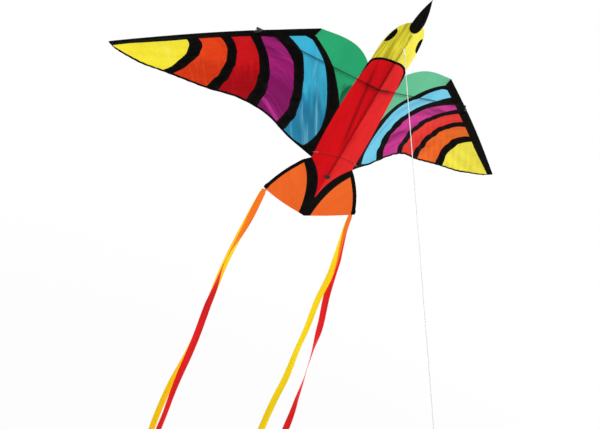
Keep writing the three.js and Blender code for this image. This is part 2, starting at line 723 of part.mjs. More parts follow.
function eyePatch() {
  const rows = steps(10).map((t) => {
    const angle = Math.PI * lerp(0.04, 0.96, t);
    const z = EYE_CENTRE_Z - EYE_HALF_LENGTH * Math.cos(angle);
    const outer = headHalfWidth(z) - 1.5;
    return steps(3).map((c) => onHead(lerp(outer - EYE_WIDTH * Math.sin(angle), outer, c), z));
  });
  return clothSolid([rows]);
}

// Beak half: a round base, a padded middle and a drawn-out tip, flat where it is sewn on the seam
function beakHalfWidth(z) {
  if (z < BEAK_WIDE_Z) {
    const share = (BEAK_WIDE_Z - z) / (BEAK_WIDE_Z - BEAK_BASE_Z);
    return BEAK_HALF_WIDTH * Math.sqrt(Math.max(1 - share * share, 0));
  }
  return BEAK_HALF_WIDTH * (1 - ((z - BEAK_WIDE_Z) / (BEAK_TIP_Z - BEAK_WIDE_Z)) ** BEAK_TAPER);
}

function beakHalf() {
  const baseRows = steps(6).map((t) => lerp(BEAK_WIDE_Z, BEAK_BASE_Z, Math.cos((t * Math.PI) / 2)));
  const tipRows = steps(8).slice(1).map((t) => lerp(BEAK_WIDE_Z, BEAK_TIP_Z, t));
  const grid = [...baseRows, ...tipRows].map((z) => {
    const half = Math.max(beakHalfWidth(z), BEAK_SEAM_GAP + 0.8);
    const fullness = (BEAK_FULLNESS * half) / BEAK_HALF_WIDTH;
    return steps(5).map((c) => {
      const x = lerp(BEAK_SEAM_GAP, half, c);
      return onHead(x, z, fullness * Math.sin(Math.PI * c));
    });
  });
  return clothSolid([grid]);
}

// Tail fan half: black vee stripe, orange panel, and a sleeved rod on its edge

const tailStart = vec(TAIL_START.x, TAIL_BACK, TAIL_START.z);
const tailCorner = vec(TAIL_CORNER.x, TAIL_BACK, TAIL_CORNER.z);
const tailAlong = tailCorner.clone().sub(tailStart).normalize();
const tailInto = vec(tailAlong.z, 0, -tailAlong.x);
const stripeFoot = vec(TAIL_STRIPE_FOOT, seamBack(TAIL_TIP_Z) + 2, TAIL_TIP_Z + 5);
const stripeBend = vec(STRIPE_BEND.x, STRIPE_BEND.back, STRIPE_BEND.z);
const veeOuter = (t) => bezierPoint(tailStart, stripeBend, stripeFoot, t);
const VEE_SHARE = 0.7;

function tailStripe() {
  const rows = steps(16).map((t) => {
    const z = lerp(TAIL_VEE_Z - 2, TAIL_TIP_Z, (t - VEE_SHARE) / (1 - VEE_SHARE));
    const inner = t < VEE_SHARE
      ? veeInner(t / VEE_SHARE).add(vec(SEAM_GAP, 0, -SEAM_GAP))
      : vec(SEAM_GAP, seamBack(z), z);
    return steps(3).map((c) => inner.clone().lerp(veeOuter(t), c));
  });
  return clothSolid([rows]);
}

const tailEdgeAt = (t) => tailStart.clone().lerp(tailCorner, t)
  .addScaledVector(tailInto, -TAIL_EDGE_BOW * Math.sin(Math.PI * t));
const tailSleeveRadius = TAIL_ROD_RADIUS + RUN_CLEARANCE + SLEEVE_CLOTH;
const TAIL_SLEEVE_START = 0.012;
const stripeSide = stripeBend.clone().sub(tailStart).setY(0).normalize();

// The sleeve's first section lies along the stripe, its last square to the edge.
const tailIntoAt = (t) => stripeSide.clone().lerp(tailInto, smoothstep(t, 0, 0.25)).normalize();

function tailEdgeSleeve() {
  const stations = [TAIL_SLEEVE_START, 0.1, 0.25, 0.4, 0.6, 0.8, 1];
  const rings = (section) => stations.map(
    (t) => ringAt(tailEdgeAt(t), tailIntoAt(t), vec(0, 1, 0), section),
  );
  const bore = sleeveBore(tailSleeveRadius, TAIL_ROD_RADIUS + RUN_CLEARANCE);
  return tunnel(rings(teardrop(tailSleeveRadius, TAIL_EDGE_WIDTH)), rings(bore));
}

const tailRod = () => rodAlong([0.05, 0.15, 0.25, 0.4, 0.5, 0.6, 0.8, 0.985].map(
  (t) => tailEdgeAt(t).addScaledVector(tailIntoAt(t), tailSleeveRadius),
), TAIL_ROD_RADIUS);

function tailPanel() {
  const rows = steps(12).map((t) => {
    const inner = veeOuter(lerp(0.11, 1, t)).add(vec(SEAM_GAP, 0, -SEAM_GAP));
    const edgeT = lerp(TAIL_SLEEVE_START + 0.01, 1, t);
    const outer = tailEdgeAt(edgeT).addScaledVector(tailIntoAt(edgeT), TAIL_EDGE_WIDTH + SLEEVE_GAP);
    return steps(5).map((c) => {
      const sag = Math.sin(Math.PI * c);
      return inner.clone().lerp(outer, c).add(vec(0, 5 * t * sag, -5 * t * t * sag));
    });
  });
  return clothSolid([rows]);
}

// Airframe pieces on the centre line

const spineRod = () => rodAlong([spineAt(SPINE_BOTTOM), spineAt(SPINE_TOP)], SPINE_RADIUS);

// Spine sleeve: a round tunnel with a web that reaches the back of the belly seam
function spineSleeve() {
  const webFoot = -SPINE_BACKSET + CLOTH / 2 + WEB_CLEARANCE;
  const web = [[WEB_HALF_THICKNESS, webFoot], [-WEB_HALF_THICKNESS, webFoot]];
  const round = [235, 210, 180, 135, 90, 45, 0, -30, -55].map(degToRad);
  const arc = (radius) => round.map((a) => [radius * Math.cos(a), radius * Math.sin(a)]);
  const boreRadius = SPINE_RADIUS + RUN_CLEARANCE;
  const foot = [285, 255].map(degToRad).map((a) => [boreRadius * Math.cos(a), boreRadius * Math.sin(a)]);
  const zs = steps(6).map((t) => lerp(SPINE_SLEEVE_BOTTOM, SPINE_SLEEVE_TOP, t));
  const rings = (section) => zs.map((z) => ringAt(spineAt(z), vec(1, 0, 0), vec(0, 1, 0), section));
  return tunnel(rings([...arc(spineSleeveRadius), ...web]), rings([...arc(boreRadius), ...foot]));
}

// End cap of the spine; inward is the direction along the spine, +1 up or -1 down
function spineCap(z, inward) {
  const bore = SPINE_RADIUS + RUN_CLEARANCE;
  const shell = asSolid(cylinderBetween(
    spineAt(z + inward * CAP_LENGTH), spineAt(z - inward * CAP_END), bore + CAP_WALL,
  ));
  const hollow = asSolid(cylinderBetween(
    spineAt(z + inward * (CAP_LENGTH + 1)), spineAt(z - inward * RUN_CLEARANCE), bore,
  ));
  return shell.subtract(hollow);
}

// The tail cap is tied through the seam: a pin and an oval button on the belly side
function spineTie() {
  const { halfWidth, halfDepth, halfLength } = TIE_BUTTON;
  const buttonBack = seamBack(TIE_Z) - CLOTH / 2 - APPLIQUE_GAP - halfDepth;
  const button = new THREE.SphereGeometry(1, 16, 10).scale(halfWidth, halfDepth, halfLength)
    .translate(0, buttonBack, TIE_Z);
  const pinEnd = spineAt(TIE_Z).add(vec(0, -SPINE_RADIUS - 1, 0));
  const pin = cylinderBetween(vec(0, buttonBack, TIE_Z), pinEnd, TIE_PIN_RADIUS);
  return fromSolid(spineCap(SPINE_BOTTOM, 1).add(asSolid(pin)).add(asSolid(button)));
}

// Flexible vinyl tube that joins the two spreader halves, and bends where the wings rise
function centreTube() {
  const bentReach = (x) => (
    Math.abs(x) < TUBE_BEND ? x ** 2 / (2 * TUBE_BEND) + TUBE_BEND / 2 : Math.abs(x)
  );
  const slopeAt = (x) => clamp(x / TUBE_BEND, -1, 1) * spreaderRise;
  const fall = spreaderAlong.z / spreaderAlong.x;
  const stations = [-45, -28, -12, -6, 0, 6, 12, 28, 45].map((x) => (x * TUBE_HALF_LENGTH) / 45);
  const rings = (radius) => stations.map((x) => {
    const reach = bentReach(x);
    const centre = spreaderInner.clone().add(vec(x, reach * spreaderRise, reach * fall));
    const lift = vec(-slopeAt(x), 1, 0).normalize();
    return ringAt(centre, vec(0, 0, 1), lift, circle(radius, 12));
  });
  return tunnel(rings(tubeRadius), rings(SPREADER_RADIUS + RUN_CLEARANCE));
}

// Flying line: a cord loop round the spine at the tow point, then the taut line to its hand loop

const lineAngle = degToRad(LINE_FROM_VERTICAL_DEG + FLIGHT_LEAN_DEG);
const lineDirection = vec(0, -Math.sin(lineAngle), -Math.cos(lineAngle));
const onLine = (distance) => lineDirection.clone().multiplyScalar(distance);

function towLoop() {
  const grip = SPINE_RADIUS + RUN_CLEARANCE + TOW_CORD_RADIUS;
  const spine = spineAt(0);
  const half = [
    vec(0, spine.y + grip, 0),
    vec(grip, spine.y, 0),
    vec(0.71 * grip, spine.y - 0.71 * grip, 0),
    vec(1.25, 0.6, 0),
    onLine(0.45 * TOW_LOOP_LENGTH).setX(1.25),
    onLine(0.85 * TOW_LOOP_LENGTH).setX(1.6),
    onLine(TOW_LOOP_LENGTH),
  ];
  const otherHalf = half.slice(1, -1).reverse().map((p) => p.clone().setX(-p.x));
  const path = new THREE.CatmullRomCurve3([...half, ...otherHalf], true, 'centripetal');
  const points = path.getPoints(40).slice(0, -1);
  return closedCord(points, vec(0, 0.28, -0.96), TOW_CORD_RADIUS);
}

function knot(distance) {
  const ball = new THREE.SphereGeometry(KNOT_RADIUS, 10, 8).scale(1, 1, 1.25);
  const turn = new THREE.Quaternion().setFromUnitVectors(vec(0, 0, 1), lineDirection);
  return ball.applyQuaternion(turn).translate(...onLine(distance).toArray());
}

const knotReach = 1.25 * KNOT_RADIUS;
const lineKnotAt = TOW_LOOP_LENGTH + TOW_CORD_RADIUS + RUN_CLEARANCE + knotReach;
const lineStart = lineKnotAt + knotReach + RUN_CLEARANCE;
const lineEnd = lineStart + LINE_LENGTH;

function flyingLine() {
  const section = new THREE.Shape(circle(LINE_RADIUS, 8).map(([x, y]) => new THREE.Vector2(x, y)));
  const extrudePath = new THREE.LineCurve3(onLine(lineStart), onLine(lineEnd));
  return new THREE.ExtrudeGeometry(section, { steps: 30, extrudePath, bevelEnabled: false });
}

function handLoop() {
  const knotAt = lineEnd + RUN_CLEARANCE + knotReach;
  const half = HAND_LOOP_LENGTH / 2;
  const count = 28;
  const points = Array.from({ length: count }, (_, k) => {
    const angle = (k * 2 * Math.PI) / count;
    const p = onLine(knotAt + half - half * Math.cos(angle));
    return p.setX((HAND_LOOP_WIDTH / 2) * Math.sin(angle));
  });
  const planeNormal = vec(1, 0, 0).cross(lineDirection).normalize();
  return fromSolid(asSolid(closedCord(points, planeNormal, LINE_RADIUS)).add(asSolid(knot(knotAt))));
}

// Ribbons: strips that hang from the corners of the tail, in upright coordinates.
// Each table row is the distance down, the offset outboard of the corner and the turn in degrees.
const RIBBON_PATHS = {
  ribbon_left_yellow: [
    [0, 0, 8], [80, 10, -17], [180, 14, 3], [270, 13, 8], [360, 16, 5], [450, 19, 18],
    [575, 37, 13], [670, 44, 10], [765, 46, -1], [850, 42, 1], [950, 36, 10],
  ],
  ribbon_left_red: [
    [0, 0, 8], [80, 10, -17], [180, 22, 24], [270, 38, 60], [360, 43, 112], [450, 38, 150],
    [575, 39, 125], [670, 38, 175], [765, 38, 205], [850, 37, 207], [950, 34, 198],
  ],
  ribbon_right_yellow: [
    [0, -2, 20], [80, -3, 26], [180, 4, -14], [270, 6, -14], [360, 7, -8], [450, 6, 4],
    [575, -3, 5], [670, -6, -31], [765, -10, -31], [850, -12, -25], [950, -14, -18],
  ],
  ribbon_right_red: [
    [0, -2, 20], [80, -6, 28], [180, 7, 18], [270, 17, -16], [360, 35, -20], [450, 50, 0],
    [575, 70, 50], [670, 76, 100], [765, 74, 147], [850, 73, 142], [950, 70, 130],
  ],
};
const RIBBON_STEPS = 38;

// A smooth value through the table's column at distance d down the ribbon
function ribbonValue(rows, column, d) {
  const k = Math.min(rows.findLastIndex(([down]) => down <= d), rows.length - 2);
  const at = (i) => rows[clamp(i, 0, rows.length - 1)];
  const t = (d - at(k)[0]) / (at(k + 1)[0] - at(k)[0]);
  const span = at(k + 1)[0] - at(k)[0];
  const slope = (i) => (at(i + 1)[column] - at(i - 1)[column]) / (at(i + 1)[0] - at(i - 1)[0]);
  const [a, b] = [at(k)[column], at(k + 1)[column]];
  const [p, q] = [a + (slope(k) * span) / 3, b - (slope(k + 1) * span) / 3];
  return bezier4(a, p, q, b, clamp(t, 0, 1));
}

// The yellow ribbon of a pair hangs in front of the red one.
function ribbon(name, top, side) {
  const rows = RIBBON_PATHS[name];
  const ahead = name.endsWith('yellow') ? -1 : 1;
  const grid = steps(RIBBON_STEPS).map((t) => {
    const d = t * RIBBON_LENGTH;
    const spread = RIBBON_SPACING + (RIBBON_SPREAD - RIBBON_SPACING) * smoothstep(d, 0, 260);
    const centre = top.clone().add(vec(side * ribbonValue(rows, 1, d), (ahead * spread) / 2, -d));
    const turn = degToRad(ribbonValue(rows, 2, d));
    const across = vec(Math.cos(turn), Math.sin(turn), 0);
    const half = lerp(RIBBON_NECK_WIDTH, RIBBON_WIDTH, smoothstep(d, 0, RIBBON_NECK_LENGTH)) / 2;
    return [-1, -1 / 3, 1 / 3, 1].map((c) => centre.clone().addScaledVector(across, c * half));
  });
  return clothSolid([grid], RIBBON_CLOTH);
}

// Assembly

const kite = new THREE.Group();
const flight = new THREE.Group();
flight.rotation.x = degToRad(FLIGHT_LEAN_DEG);
kite.add(flight);

function addPiece(group, name, geometry, look) {
  const mesh = new THREE.Mesh(geometry, new THREE.MeshStandardMaterial(look));
  mesh.name = name;
  group.add(mesh);
}

addPiece(flight, 'spine_rod', spineRod(), GLASS_FIBRE);
addPiece(flight, 'spine_sleeve', spineSleeve(), CLOTH_BLACK);
addPiece(flight, 'spine_nose_cap', fromSolid(spineCap(SPINE_TOP, -1)), MOULDED_BLACK);
addPiece(flight, 'spine_tail_tie', spineTie(), MOULDED_BLACK);
addPiece(flight, 'centre_tube', centreTube(), MOULDED_BLACK);
addPiece(flight, 'belly_batten', bellyBatten(), PALE_FIBRE);
addPiece(flight, 'tow_loop', towLoop(), BRAID);
addPiece(flight, 'line_knot', knot(lineKnotAt), BRAID);
addPiece(flight, 'flying_line', flyingLine(), BRAID);
addPiece(flight, 'line_hand_loop', handLoop(), BRAID);

// The same pieces make both wings; the left one is the mirror image.
const WING_PIECES = [
  ['edge_rod', edgeRod(), GLASS_FIBRE],
  ['edge_sleeve_inner', edgeSleeve(innerSleeveStations), CLOTH_BLACK],
  ['edge_sleeve_outer', edgeSleeve(outerSleeveStations), CLOTH_BLACK],
  ['edge_connector', connector(), MOULDED_BLACK],
  ['spreader_rod', spreaderRod(), GLASS_FIBRE],
  ['tip_pocket', tipPocket(), CLOTH_BLACK],
  ['panel_yellow', wingPanel('yellow'), CLOTH_YELLOW],
  ['panel_orange', wingPanel('orange'), CLOTH_ORANGE],
  ['panel_red', wingPanel('red'), CLOTH_RED],
  ['panel_purple', wingPanel('purple'), CLOTH_PURPLE],
  ['panel_blue', wingPanel('blue'), CLOTH_BLUE],
  ['panel_green', greenPanel(), CLOTH_GREEN],
  ['wing_trim', wingTrim(), CLOTH_BLACK],
  ['belly_panel', bellyPanel(), CLOTH_RED],
  ['head_panel', headPanel(), CLOTH_YELLOW],
  ['eye_patch', eyePatch(), CLOTH_BLACK],
  ['beak_half', beakHalf(), CLOTH_BLACK],
  ['collar', collar(), CLOTH_BLACK],
  ['tail_stripe', tailStripe(), CLOTH_BLACK],
  ['tail_panel', tailPanel(), CLOTH_ORANGE],
  ['tail_edge_sleeve', tailEdgeSleeve(), CLOTH_BLACK],
  ['tail_edge_rod', tailRod(), GLASS_FIBRE],
];
for (const [name, geometry, look] of WING_PIECES) {
  addPiece(flight, `${name}_right`, geometry, look);
  addPiece(flight, `${name}_left`, mirrored(geometry), look);
}

// Ribbons hang upright from the end of each tail edge, just below the sleeve's lowest corner.
flight.updateMatrix();
const sleeveEnd = tailEdgeAt(1).addScaledVector(tailInto, TAIL_EDGE_WIDTH / 2).applyMatrix4(flight.matrix);
const neckDrop = (RIBBON_NECK_WIDTH / 2) * Math.abs(tailInto.z / tailInto.x) + CLOTH + RUN_CLEARANCE;
for (const name of Object.keys(RIBBON_PATHS)) {
  const side = name.includes('right') ? 1 : -1;
  const top = vec(side * sleeveEnd.x, sleeveEnd.y, sleeveEnd.z - neckDrop);
  addPiece(kite, name, ribbon(name, top, side), name.endsWith('red') ? CLOTH_RED : CLOTH_YELLOW);
}

export default kite;
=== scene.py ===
"""Delta kite in the shape of a bird, flying on a taut line, in a plain white studio.

Every form is a formula in the kite's own frame, in millimetres: +X to one wing, +Y to the back of
the kite, +Z to the beak, with the tow point at the origin. The kite then leans forward and the
result is in metres, so that the ribbons hang straight down.
"""

import logging
import math
from dataclasses import dataclass, field
from enum import Enum
from functools import cached_property
from typing import Any, Callable, Optional, Sequence

import bpy
import numpy as np
from mathutils import Matrix, Vector

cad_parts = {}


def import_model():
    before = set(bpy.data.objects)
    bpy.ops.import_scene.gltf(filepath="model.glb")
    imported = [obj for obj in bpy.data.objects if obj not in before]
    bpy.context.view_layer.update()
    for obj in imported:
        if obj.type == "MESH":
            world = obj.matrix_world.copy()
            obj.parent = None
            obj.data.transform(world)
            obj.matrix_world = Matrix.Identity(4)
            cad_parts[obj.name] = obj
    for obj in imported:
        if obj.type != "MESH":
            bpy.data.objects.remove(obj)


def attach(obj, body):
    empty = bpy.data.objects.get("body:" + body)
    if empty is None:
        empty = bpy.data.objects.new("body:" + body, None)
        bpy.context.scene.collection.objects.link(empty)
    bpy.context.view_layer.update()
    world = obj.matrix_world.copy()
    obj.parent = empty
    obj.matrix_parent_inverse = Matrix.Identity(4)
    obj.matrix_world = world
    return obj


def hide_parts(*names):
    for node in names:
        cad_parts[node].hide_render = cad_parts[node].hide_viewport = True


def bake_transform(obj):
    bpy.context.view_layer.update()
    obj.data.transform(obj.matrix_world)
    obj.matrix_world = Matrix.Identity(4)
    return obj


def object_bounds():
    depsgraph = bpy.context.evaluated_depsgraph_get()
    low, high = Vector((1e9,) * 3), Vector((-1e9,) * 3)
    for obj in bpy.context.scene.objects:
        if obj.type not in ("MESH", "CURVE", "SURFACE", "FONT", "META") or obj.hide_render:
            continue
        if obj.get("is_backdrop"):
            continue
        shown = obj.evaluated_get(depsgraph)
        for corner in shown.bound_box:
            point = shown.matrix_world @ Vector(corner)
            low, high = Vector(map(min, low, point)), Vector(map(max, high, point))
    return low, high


log = logging.getLogger("kite")
Array = np.ndarray
Point = tuple[float, float, float]
Rgb = tuple[int, int, int]
Seam = Callable[[Array], Array]

MM = 0.001
TURN = 2.0 * math.pi
FLIGHT_LEAN = math.radians(13.0)
SPINE_RADIUS = 2.5
SPINE_BACKSET = 6.0  # how far the spine lies behind the seam
TUBE_RADIUS = 3.95
TUBE_BEND = 12.0  # half the length of the middle tube that bends
SLEEVE_WALL = 0.95  # from a rod's skin to the outside of its sleeve
BORE_PLAY = 0.3  # from a rod's skin to the inside of its sleeve
PLAY = 0.35  # air between hard parts
HEM_HALF = 0.4  # half the thickness of a sleeve's flat hem


class Side(Enum):
    """The two halves of the kite: the left one lies at negative X."""

    LEFT = -1
    RIGHT = 1

    @property
    def word(self) -> str:
        """The side's name as it stands in the names of nodes."""
        return self.name.lower()

    @property
    def body(self) -> str:
        """The moving body that this side's cloth belongs to."""
        return f"wing_{self.word}"


class Dye(Enum):
    """The rainbow order of the sail, from wing tip to body."""

    YELLOW = "yellow"
    ORANGE = "orange"
    RED = "red"
    PURPLE = "purple"
    BLUE = "blue"
    GREEN = "green"


# Small formulas


def lerp(a: Any, b: Any, t: Any) -> Any:
    """The value a share t of the way from a to b."""
    return a + (b - a) * t


def steps(count: int) -> Array:
    """Even shares from 0 to 1 in count steps."""
    return np.linspace(0.0, 1.0, count + 1)


def unit(v: Array) -> Array:
    """Vectors along the last axis, made one long."""
    return v / np.linalg.norm(v, axis=-1, keepdims=True)


def smoothstep(x: Any, low: float, high: float) -> Array:
    """An S curve from 0 at low to 1 at high."""
    t = np.clip((np.asarray(x, float) - low) / (high - low), 0.0, 1.0)
    return t * t * (3.0 - 2.0 * t)


def drop(w: Array) -> Array:
    """How far a quarter ellipse has dropped at a share w of its width."""
    return 1.0 - np.sqrt(np.maximum(1.0 - w**2, 0.0))


def bezier4(a: Any, b: Any, c: Any, d: Any, t: Array) -> Array:
    """A cubic through a and d, drawn towards b and c."""
    u = 1.0 - t
    return a * u**3 + 3.0 * b * t * u**2 + 3.0 * c * t**2 * u + d * t**3


def bezier_point(a: Array, b: Array, c: Array, t: Array) -> Array:
    """Points of a quadratic curve from a to c, drawn towards b."""
    t = np.asarray(t, float)[..., None]
    return (1.0 - t) ** 2 * a + 2.0 * t * (1.0 - t) * b + t**2 * c


def spline(knots: Array, place: Array) -> Array:
    """A cubic from each knot to the next, with slopes from each knot's neighbours.

    Args:
        knots: the points, with one more before the first and one or two more after the last.
        place: 0 at the first point, 1 at the second and so on.

    Returns:
        Points of the curve.
    """
    k = np.minimum(place.astype(int), len(knots) - 4)
    t = (place - k)[..., None]
    a, b = knots[k + 1], knots[k + 2]
    p, q = (b - knots[k]) / 2.0, (knots[k + 3] - a) / 2.0
    bend = -3.0 * a + 3.0 * b - 2.0 * p - q
    return a + p * t + bend * t**2 + (2.0 * a - 2.0 * b + p + q) * t**3


def xyz(x: Any, y: Any, z: Any) -> Array:
    """Points with their coordinates on the last axis, from arrays that may be of unlike shape."""
    return np.stack(np.broadcast_arrays(np.asarray(x, float), y, z), axis=-1)


def pair(a: Any, b: Any) -> Array:
    """Cloth coordinates on the last axis, from arrays that may be of unlike shape."""
    return np.stack(np.broadcast_arrays(a, b), axis=-1)


def run_length(points: Array) -> Array:
    """Distance walked along the first axis of a row of points, from 0."""
    paces = np.linalg.norm(np.diff(points, axis=0), axis=-1)
    return np.concatenate([np.zeros((1,) + paces.shape[1:]), np.cumsum(paces, axis=0)])


def flown(points: Array) -> Array:
    """Turn kite-frame millimetres into row-frame metres.

    The lean is a turn about X: y' = y cos a - z sin a and z' = y sin a + z cos a.

    Args:
        points: array whose last axis is x, y, z in the kite frame.

    Returns:
        The same array in metres, in the upright frame.
    """
    cos, sin = math.cos(FLIGHT_LEAN), math.sin(FLIGHT_LEAN)
    x, y, z = points[..., 0], points[..., 1], points[..., 2]
    return MM * xyz(x, y * cos - z * sin, y * sin + z * cos)


def paint(colour: Rgb) -> tuple[float, ...]:
    """A colour picked as 0 to 255 values, made linear light for the shader."""
    share = np.array(colour) / 255.0
    linear = np.where(share <= 0.04045, share / 12.92, ((share + 0.055) / 1.055) ** 2.4)
    return (*linear.tolist(), 1.0)


# Meshes


@dataclass
class Patch:
    """A grid of points in metres, rows by columns, with cloth coordinates of its own."""

    points: Array
    cloth: Array  # two values for each point, for patterns that follow the surface
    wrap: bool = False  # the last column joins the first, as round a tube
    capped: bool = False  # a flat face shuts the first and the last row

    def faces(self, start: int) -> list[list[int]]:
        """Quads between neighbouring rows, and the caps.

        Args:
            start: the number of the grid's first point in its mesh.

        Returns:
            Rows of point numbers.
        """
        rows, columns = self.points.shape[:2]
        ids = start + np.arange(rows * columns).reshape(rows, columns)
        near, after = (ids, np.roll(ids, -1, axis=1)) if self.wrap else (ids[:, :-1], ids[:, 1:])
        quads = np.stack([near[:-1], near[1:], after[1:], after[:-1]], axis=-1)
        caps = [ids[0].tolist(), ids[-1][::-1].tolist()] if self.capped else []
        return quads.reshape(-1, 4).tolist() + caps

    def volume(self) -> float:
        """Six times the signed volume of a tube: positive where its faces point out."""
        p = self.points - self.points.reshape(-1, 3).mean(axis=0)
        q = np.roll(p, -1, axis=1)
        cells = np.cross(p[1:], q[1:]) + np.cross(q[1:], q[:-1])
        return float(np.einsum("...i,...i->...", p[:-1], cells).sum())

    def cut_size(self) -> tuple[tuple[float, float], float]:
        """The rectangle that a stretched panel is cut from, and the panel's own area.

        Returns:
            Width and length, then area; the area is kept above 0.36 of the rectangle.
        """
        p = self.points
        first = np.cross(p[:-1, 1:] - p[:-1, :-1], p[1:, :-1] - p[:-1, :-1])
        second = np.cross(p[1:, :-1] - p[1:, 1:], p[:-1, 1:] - p[1:, 1:])
        area = 0.5 * float(sum(np.linalg.norm(half, axis=-1).sum() for half in (first, second)))
        width = float(run_length(np.swapaxes(p, 0, 1))[-1].max())
        length = float(run_length(p)[-1].max())
        width *= min(1.0, area / (0.36 * width * length))
        width *= max(1.0, area / (0.99 * width * length))
        return (width, length), area


def make_piece(
    name: str, patches: Sequence[Patch], material: bpy.types.Material,
    side: Side = Side.RIGHT, wall: float = 0.0, marks: Optional[dict[str, Array]] = None,
) -> bpy.types.Object:
    """Join patches into one object at the origin.

    Args:
        name: the piece's name.
        patches: grids made for the right half.
        material: its finish.
        side: the left side mirrors the grids in X.
        wall: thickness in metres that a Solidify modifier adds, half on each side.
        marks: named values, one for each point.

    Returns:
        The finished object.
    """
    points, cloth, faces = [], [], []
    for patch in patches:
        turned = (patch.wrap and patch.volume() < 0) != (side is Side.LEFT)
        found = patch.faces(sum(map(len, points)))
        faces.extend([face[::-1] for face in found] if turned else found)
        points.append(patch.points.reshape(-1, 3) * np.array([side.value, 1.0, 1.0]))
        cloth.append(patch.cloth.reshape(-1, 2))
    mesh = bpy.data.meshes.new(name)
    mesh.from_pydata(np.concatenate(points).tolist(), [], faces)
    corners = np.empty(len(mesh.loops), dtype=np.int32)
    mesh.loops.foreach_get("vertex_index", corners)
    layer = mesh.uv_layers.new(name="cloth")
    layer.data.foreach_set("uv", np.concatenate(cloth)[corners].astype(np.float32).ravel())
    for label, values in (marks or {}).items():
        attribute = mesh.attributes.new(label, "FLOAT", "POINT")
        attribute.data.foreach_set("value", values.astype(np.float32).ravel())
    mesh.polygons.foreach_set("use_smooth", np.ones(len(mesh.polygons), dtype=bool))
    mesh.materials.append(material)
    mesh.update()
    piece = bpy.data.objects.new(name, mesh)
    bpy.context.scene.collection.objects.link(piece)
    if wall:
        modifier = piece.modifiers.new("wall", "SOLIDIFY")
        modifier.thickness, modifier.offset = wall, 0.0
    return piece


def panel_patch(points: Array) -> Patch:
    """Cloth from kite-frame points, with metres across and along its grid as coordinates."""
    points = flown(points)
    across = np.swapaxes(run_length(np.swapaxes(points, 0, 1)), 0, 1)
    return Patch(points, pair(across, run_length(points)))


def strip_patch(points: Array) -> Patch:
    """A strip from kite-frame points: metres along its rows' middle, share across its columns."""
    points = flown(points)
    columns = points.shape[1]
    return Patch(points, pair(run_length(points[:, columns // 2])[:, None], steps(columns - 1)))


def tube_patch(
    path: Array, radius: float, sides: int = 20, closed: bool = False, guide: Optional[Array] = None
) -> Patch:
    """A round section carried along a path.

    The section's first axis is square to the path and to a guide direction, its second to both.

    Args:
        path: points in the kite frame.
        radius: of the section, in millimetres.
        sides: points round the section.
        closed: True where the path ends where it starts.
        guide: a direction, or one for each point, that the path never follows.

    Returns:
        A wrapped patch whose cloth coordinates are the way along and the share round.
    """
    path = flown(path)
    guide = np.array([0.02, 1.0, 0.013]) if guide is None else flown(guide) / MM
    if closed:
        path = np.concatenate([path, path[:1]])
        guide = np.concatenate([guide, guide[:1]]) if guide.ndim == 2 else guide
    ahead = np.concatenate([path[1:], path[1:2] if closed else path[-1:]])
    behind = np.concatenate([path[-2:-1] if closed else path[:1], path[:-1]])
    along = unit(ahead - behind)
    across = unit(np.cross(along, guide))
    angle = steps(sides)[:-1, None] * TURN
    ring = np.cos(angle) * across[:, None] + np.sin(angle) * np.cross(along, across)[:, None]
    cloth = pair(run_length(path)[:, None], steps(sides)[:-1])
    return Patch(path[:, None] + MM * radius * ring, cloth, True, not closed)


def teardrop(radius: Any, width: Any, nose: int, side: int) -> tuple[Array, Array]:
    """A sleeve's section: half a circle, then two sides that fall to the flat hem with a power.

    Args:
        radius: of the nose, one for all sections or one for each.
        width: from the nose to the hem, likewise.
        nose: points round the nose.
        side: points on each side.

    Returns:
        Ways into the sail and to its back, sections by points.
    """
    radius, width = np.broadcast_arrays(*(np.reshape(a, (-1, 1)) for a in (radius, width)))
    angle = np.radians(np.linspace(90.0, 270.0, nose))
    share = steps(side)[1:]
    low, half = lerp(radius, width, share), lerp(HEM_HALF, radius, (1.0 - share) ** 1.6)
    u = [radius * (1.0 + np.cos(angle)), low, low[:, -2::-1]]
    w = [radius * np.sin(angle), -half[:, :-1], 0.0 * half[:, -1:], half[:, -2::-1]]
    return np.concatenate(u, axis=1), np.concatenate(w, axis=1)


def lay(front: Array, into: Array, back: Array, u: Array, w: Array) -> Array:
    """A section on the axes of every station: u of the way into the sail, w to its back."""
    return front[:, None] + u[..., None] * into[:, None] + w[..., None] * back[:, None]


def lined_patch(outside: Array, inside: Array, middle: Array, share: Array) -> Patch:
    """A hollow tube: from the bore over the first lip, along the outside and back inside.

    Args:
        outside: rings in the kite frame.
        inside: rings of the bore, as many.
        middle: a point for each ring, that gives the way along.
        share: the second cloth coordinate.

    Returns:
        A wrapped patch, open at both ends.
    """
    way, share = MM * run_length(middle)[:, None], np.broadcast_to(share, outside.shape[:2])
    points, way, share = (
        np.concatenate([back[:1], out, back[::-1]])
        for out, back in ((outside, inside), (way, way), (share, share))
    )
    return Patch(flown(points), pair(way, share), True)


def sleeve_patch(
    axes: tuple[Array, Array, Array], section: tuple[Array, Array], nose: int, rod: float, share: Array
) -> Patch:
    """A sleeve of a teardrop section with a round bore, open at both ends.

    Args:
        axes: for each station the edge's point, the way into the sail and to its back.
        section: the teardrop.
        nose: points round its nose.
        rod: the rod's radius.
        share: each point's share of the width.

    Returns:
        The hollow sleeve.
    """
    rest = np.linspace(270.0, 450.0, section[0].shape[1] - nose + 2)[1:-1]
    angle = np.radians(np.concatenate([np.linspace(90.0, 270.0, nose), rest]))
    bore = rod + BORE_PLAY
    inside = lay(*axes, rod + SLEEVE_WALL + bore * np.cos(angle), bore * np.sin(angle))
    return lined_patch(lay(*axes, *section), inside, axes[0], share)


# Finishes


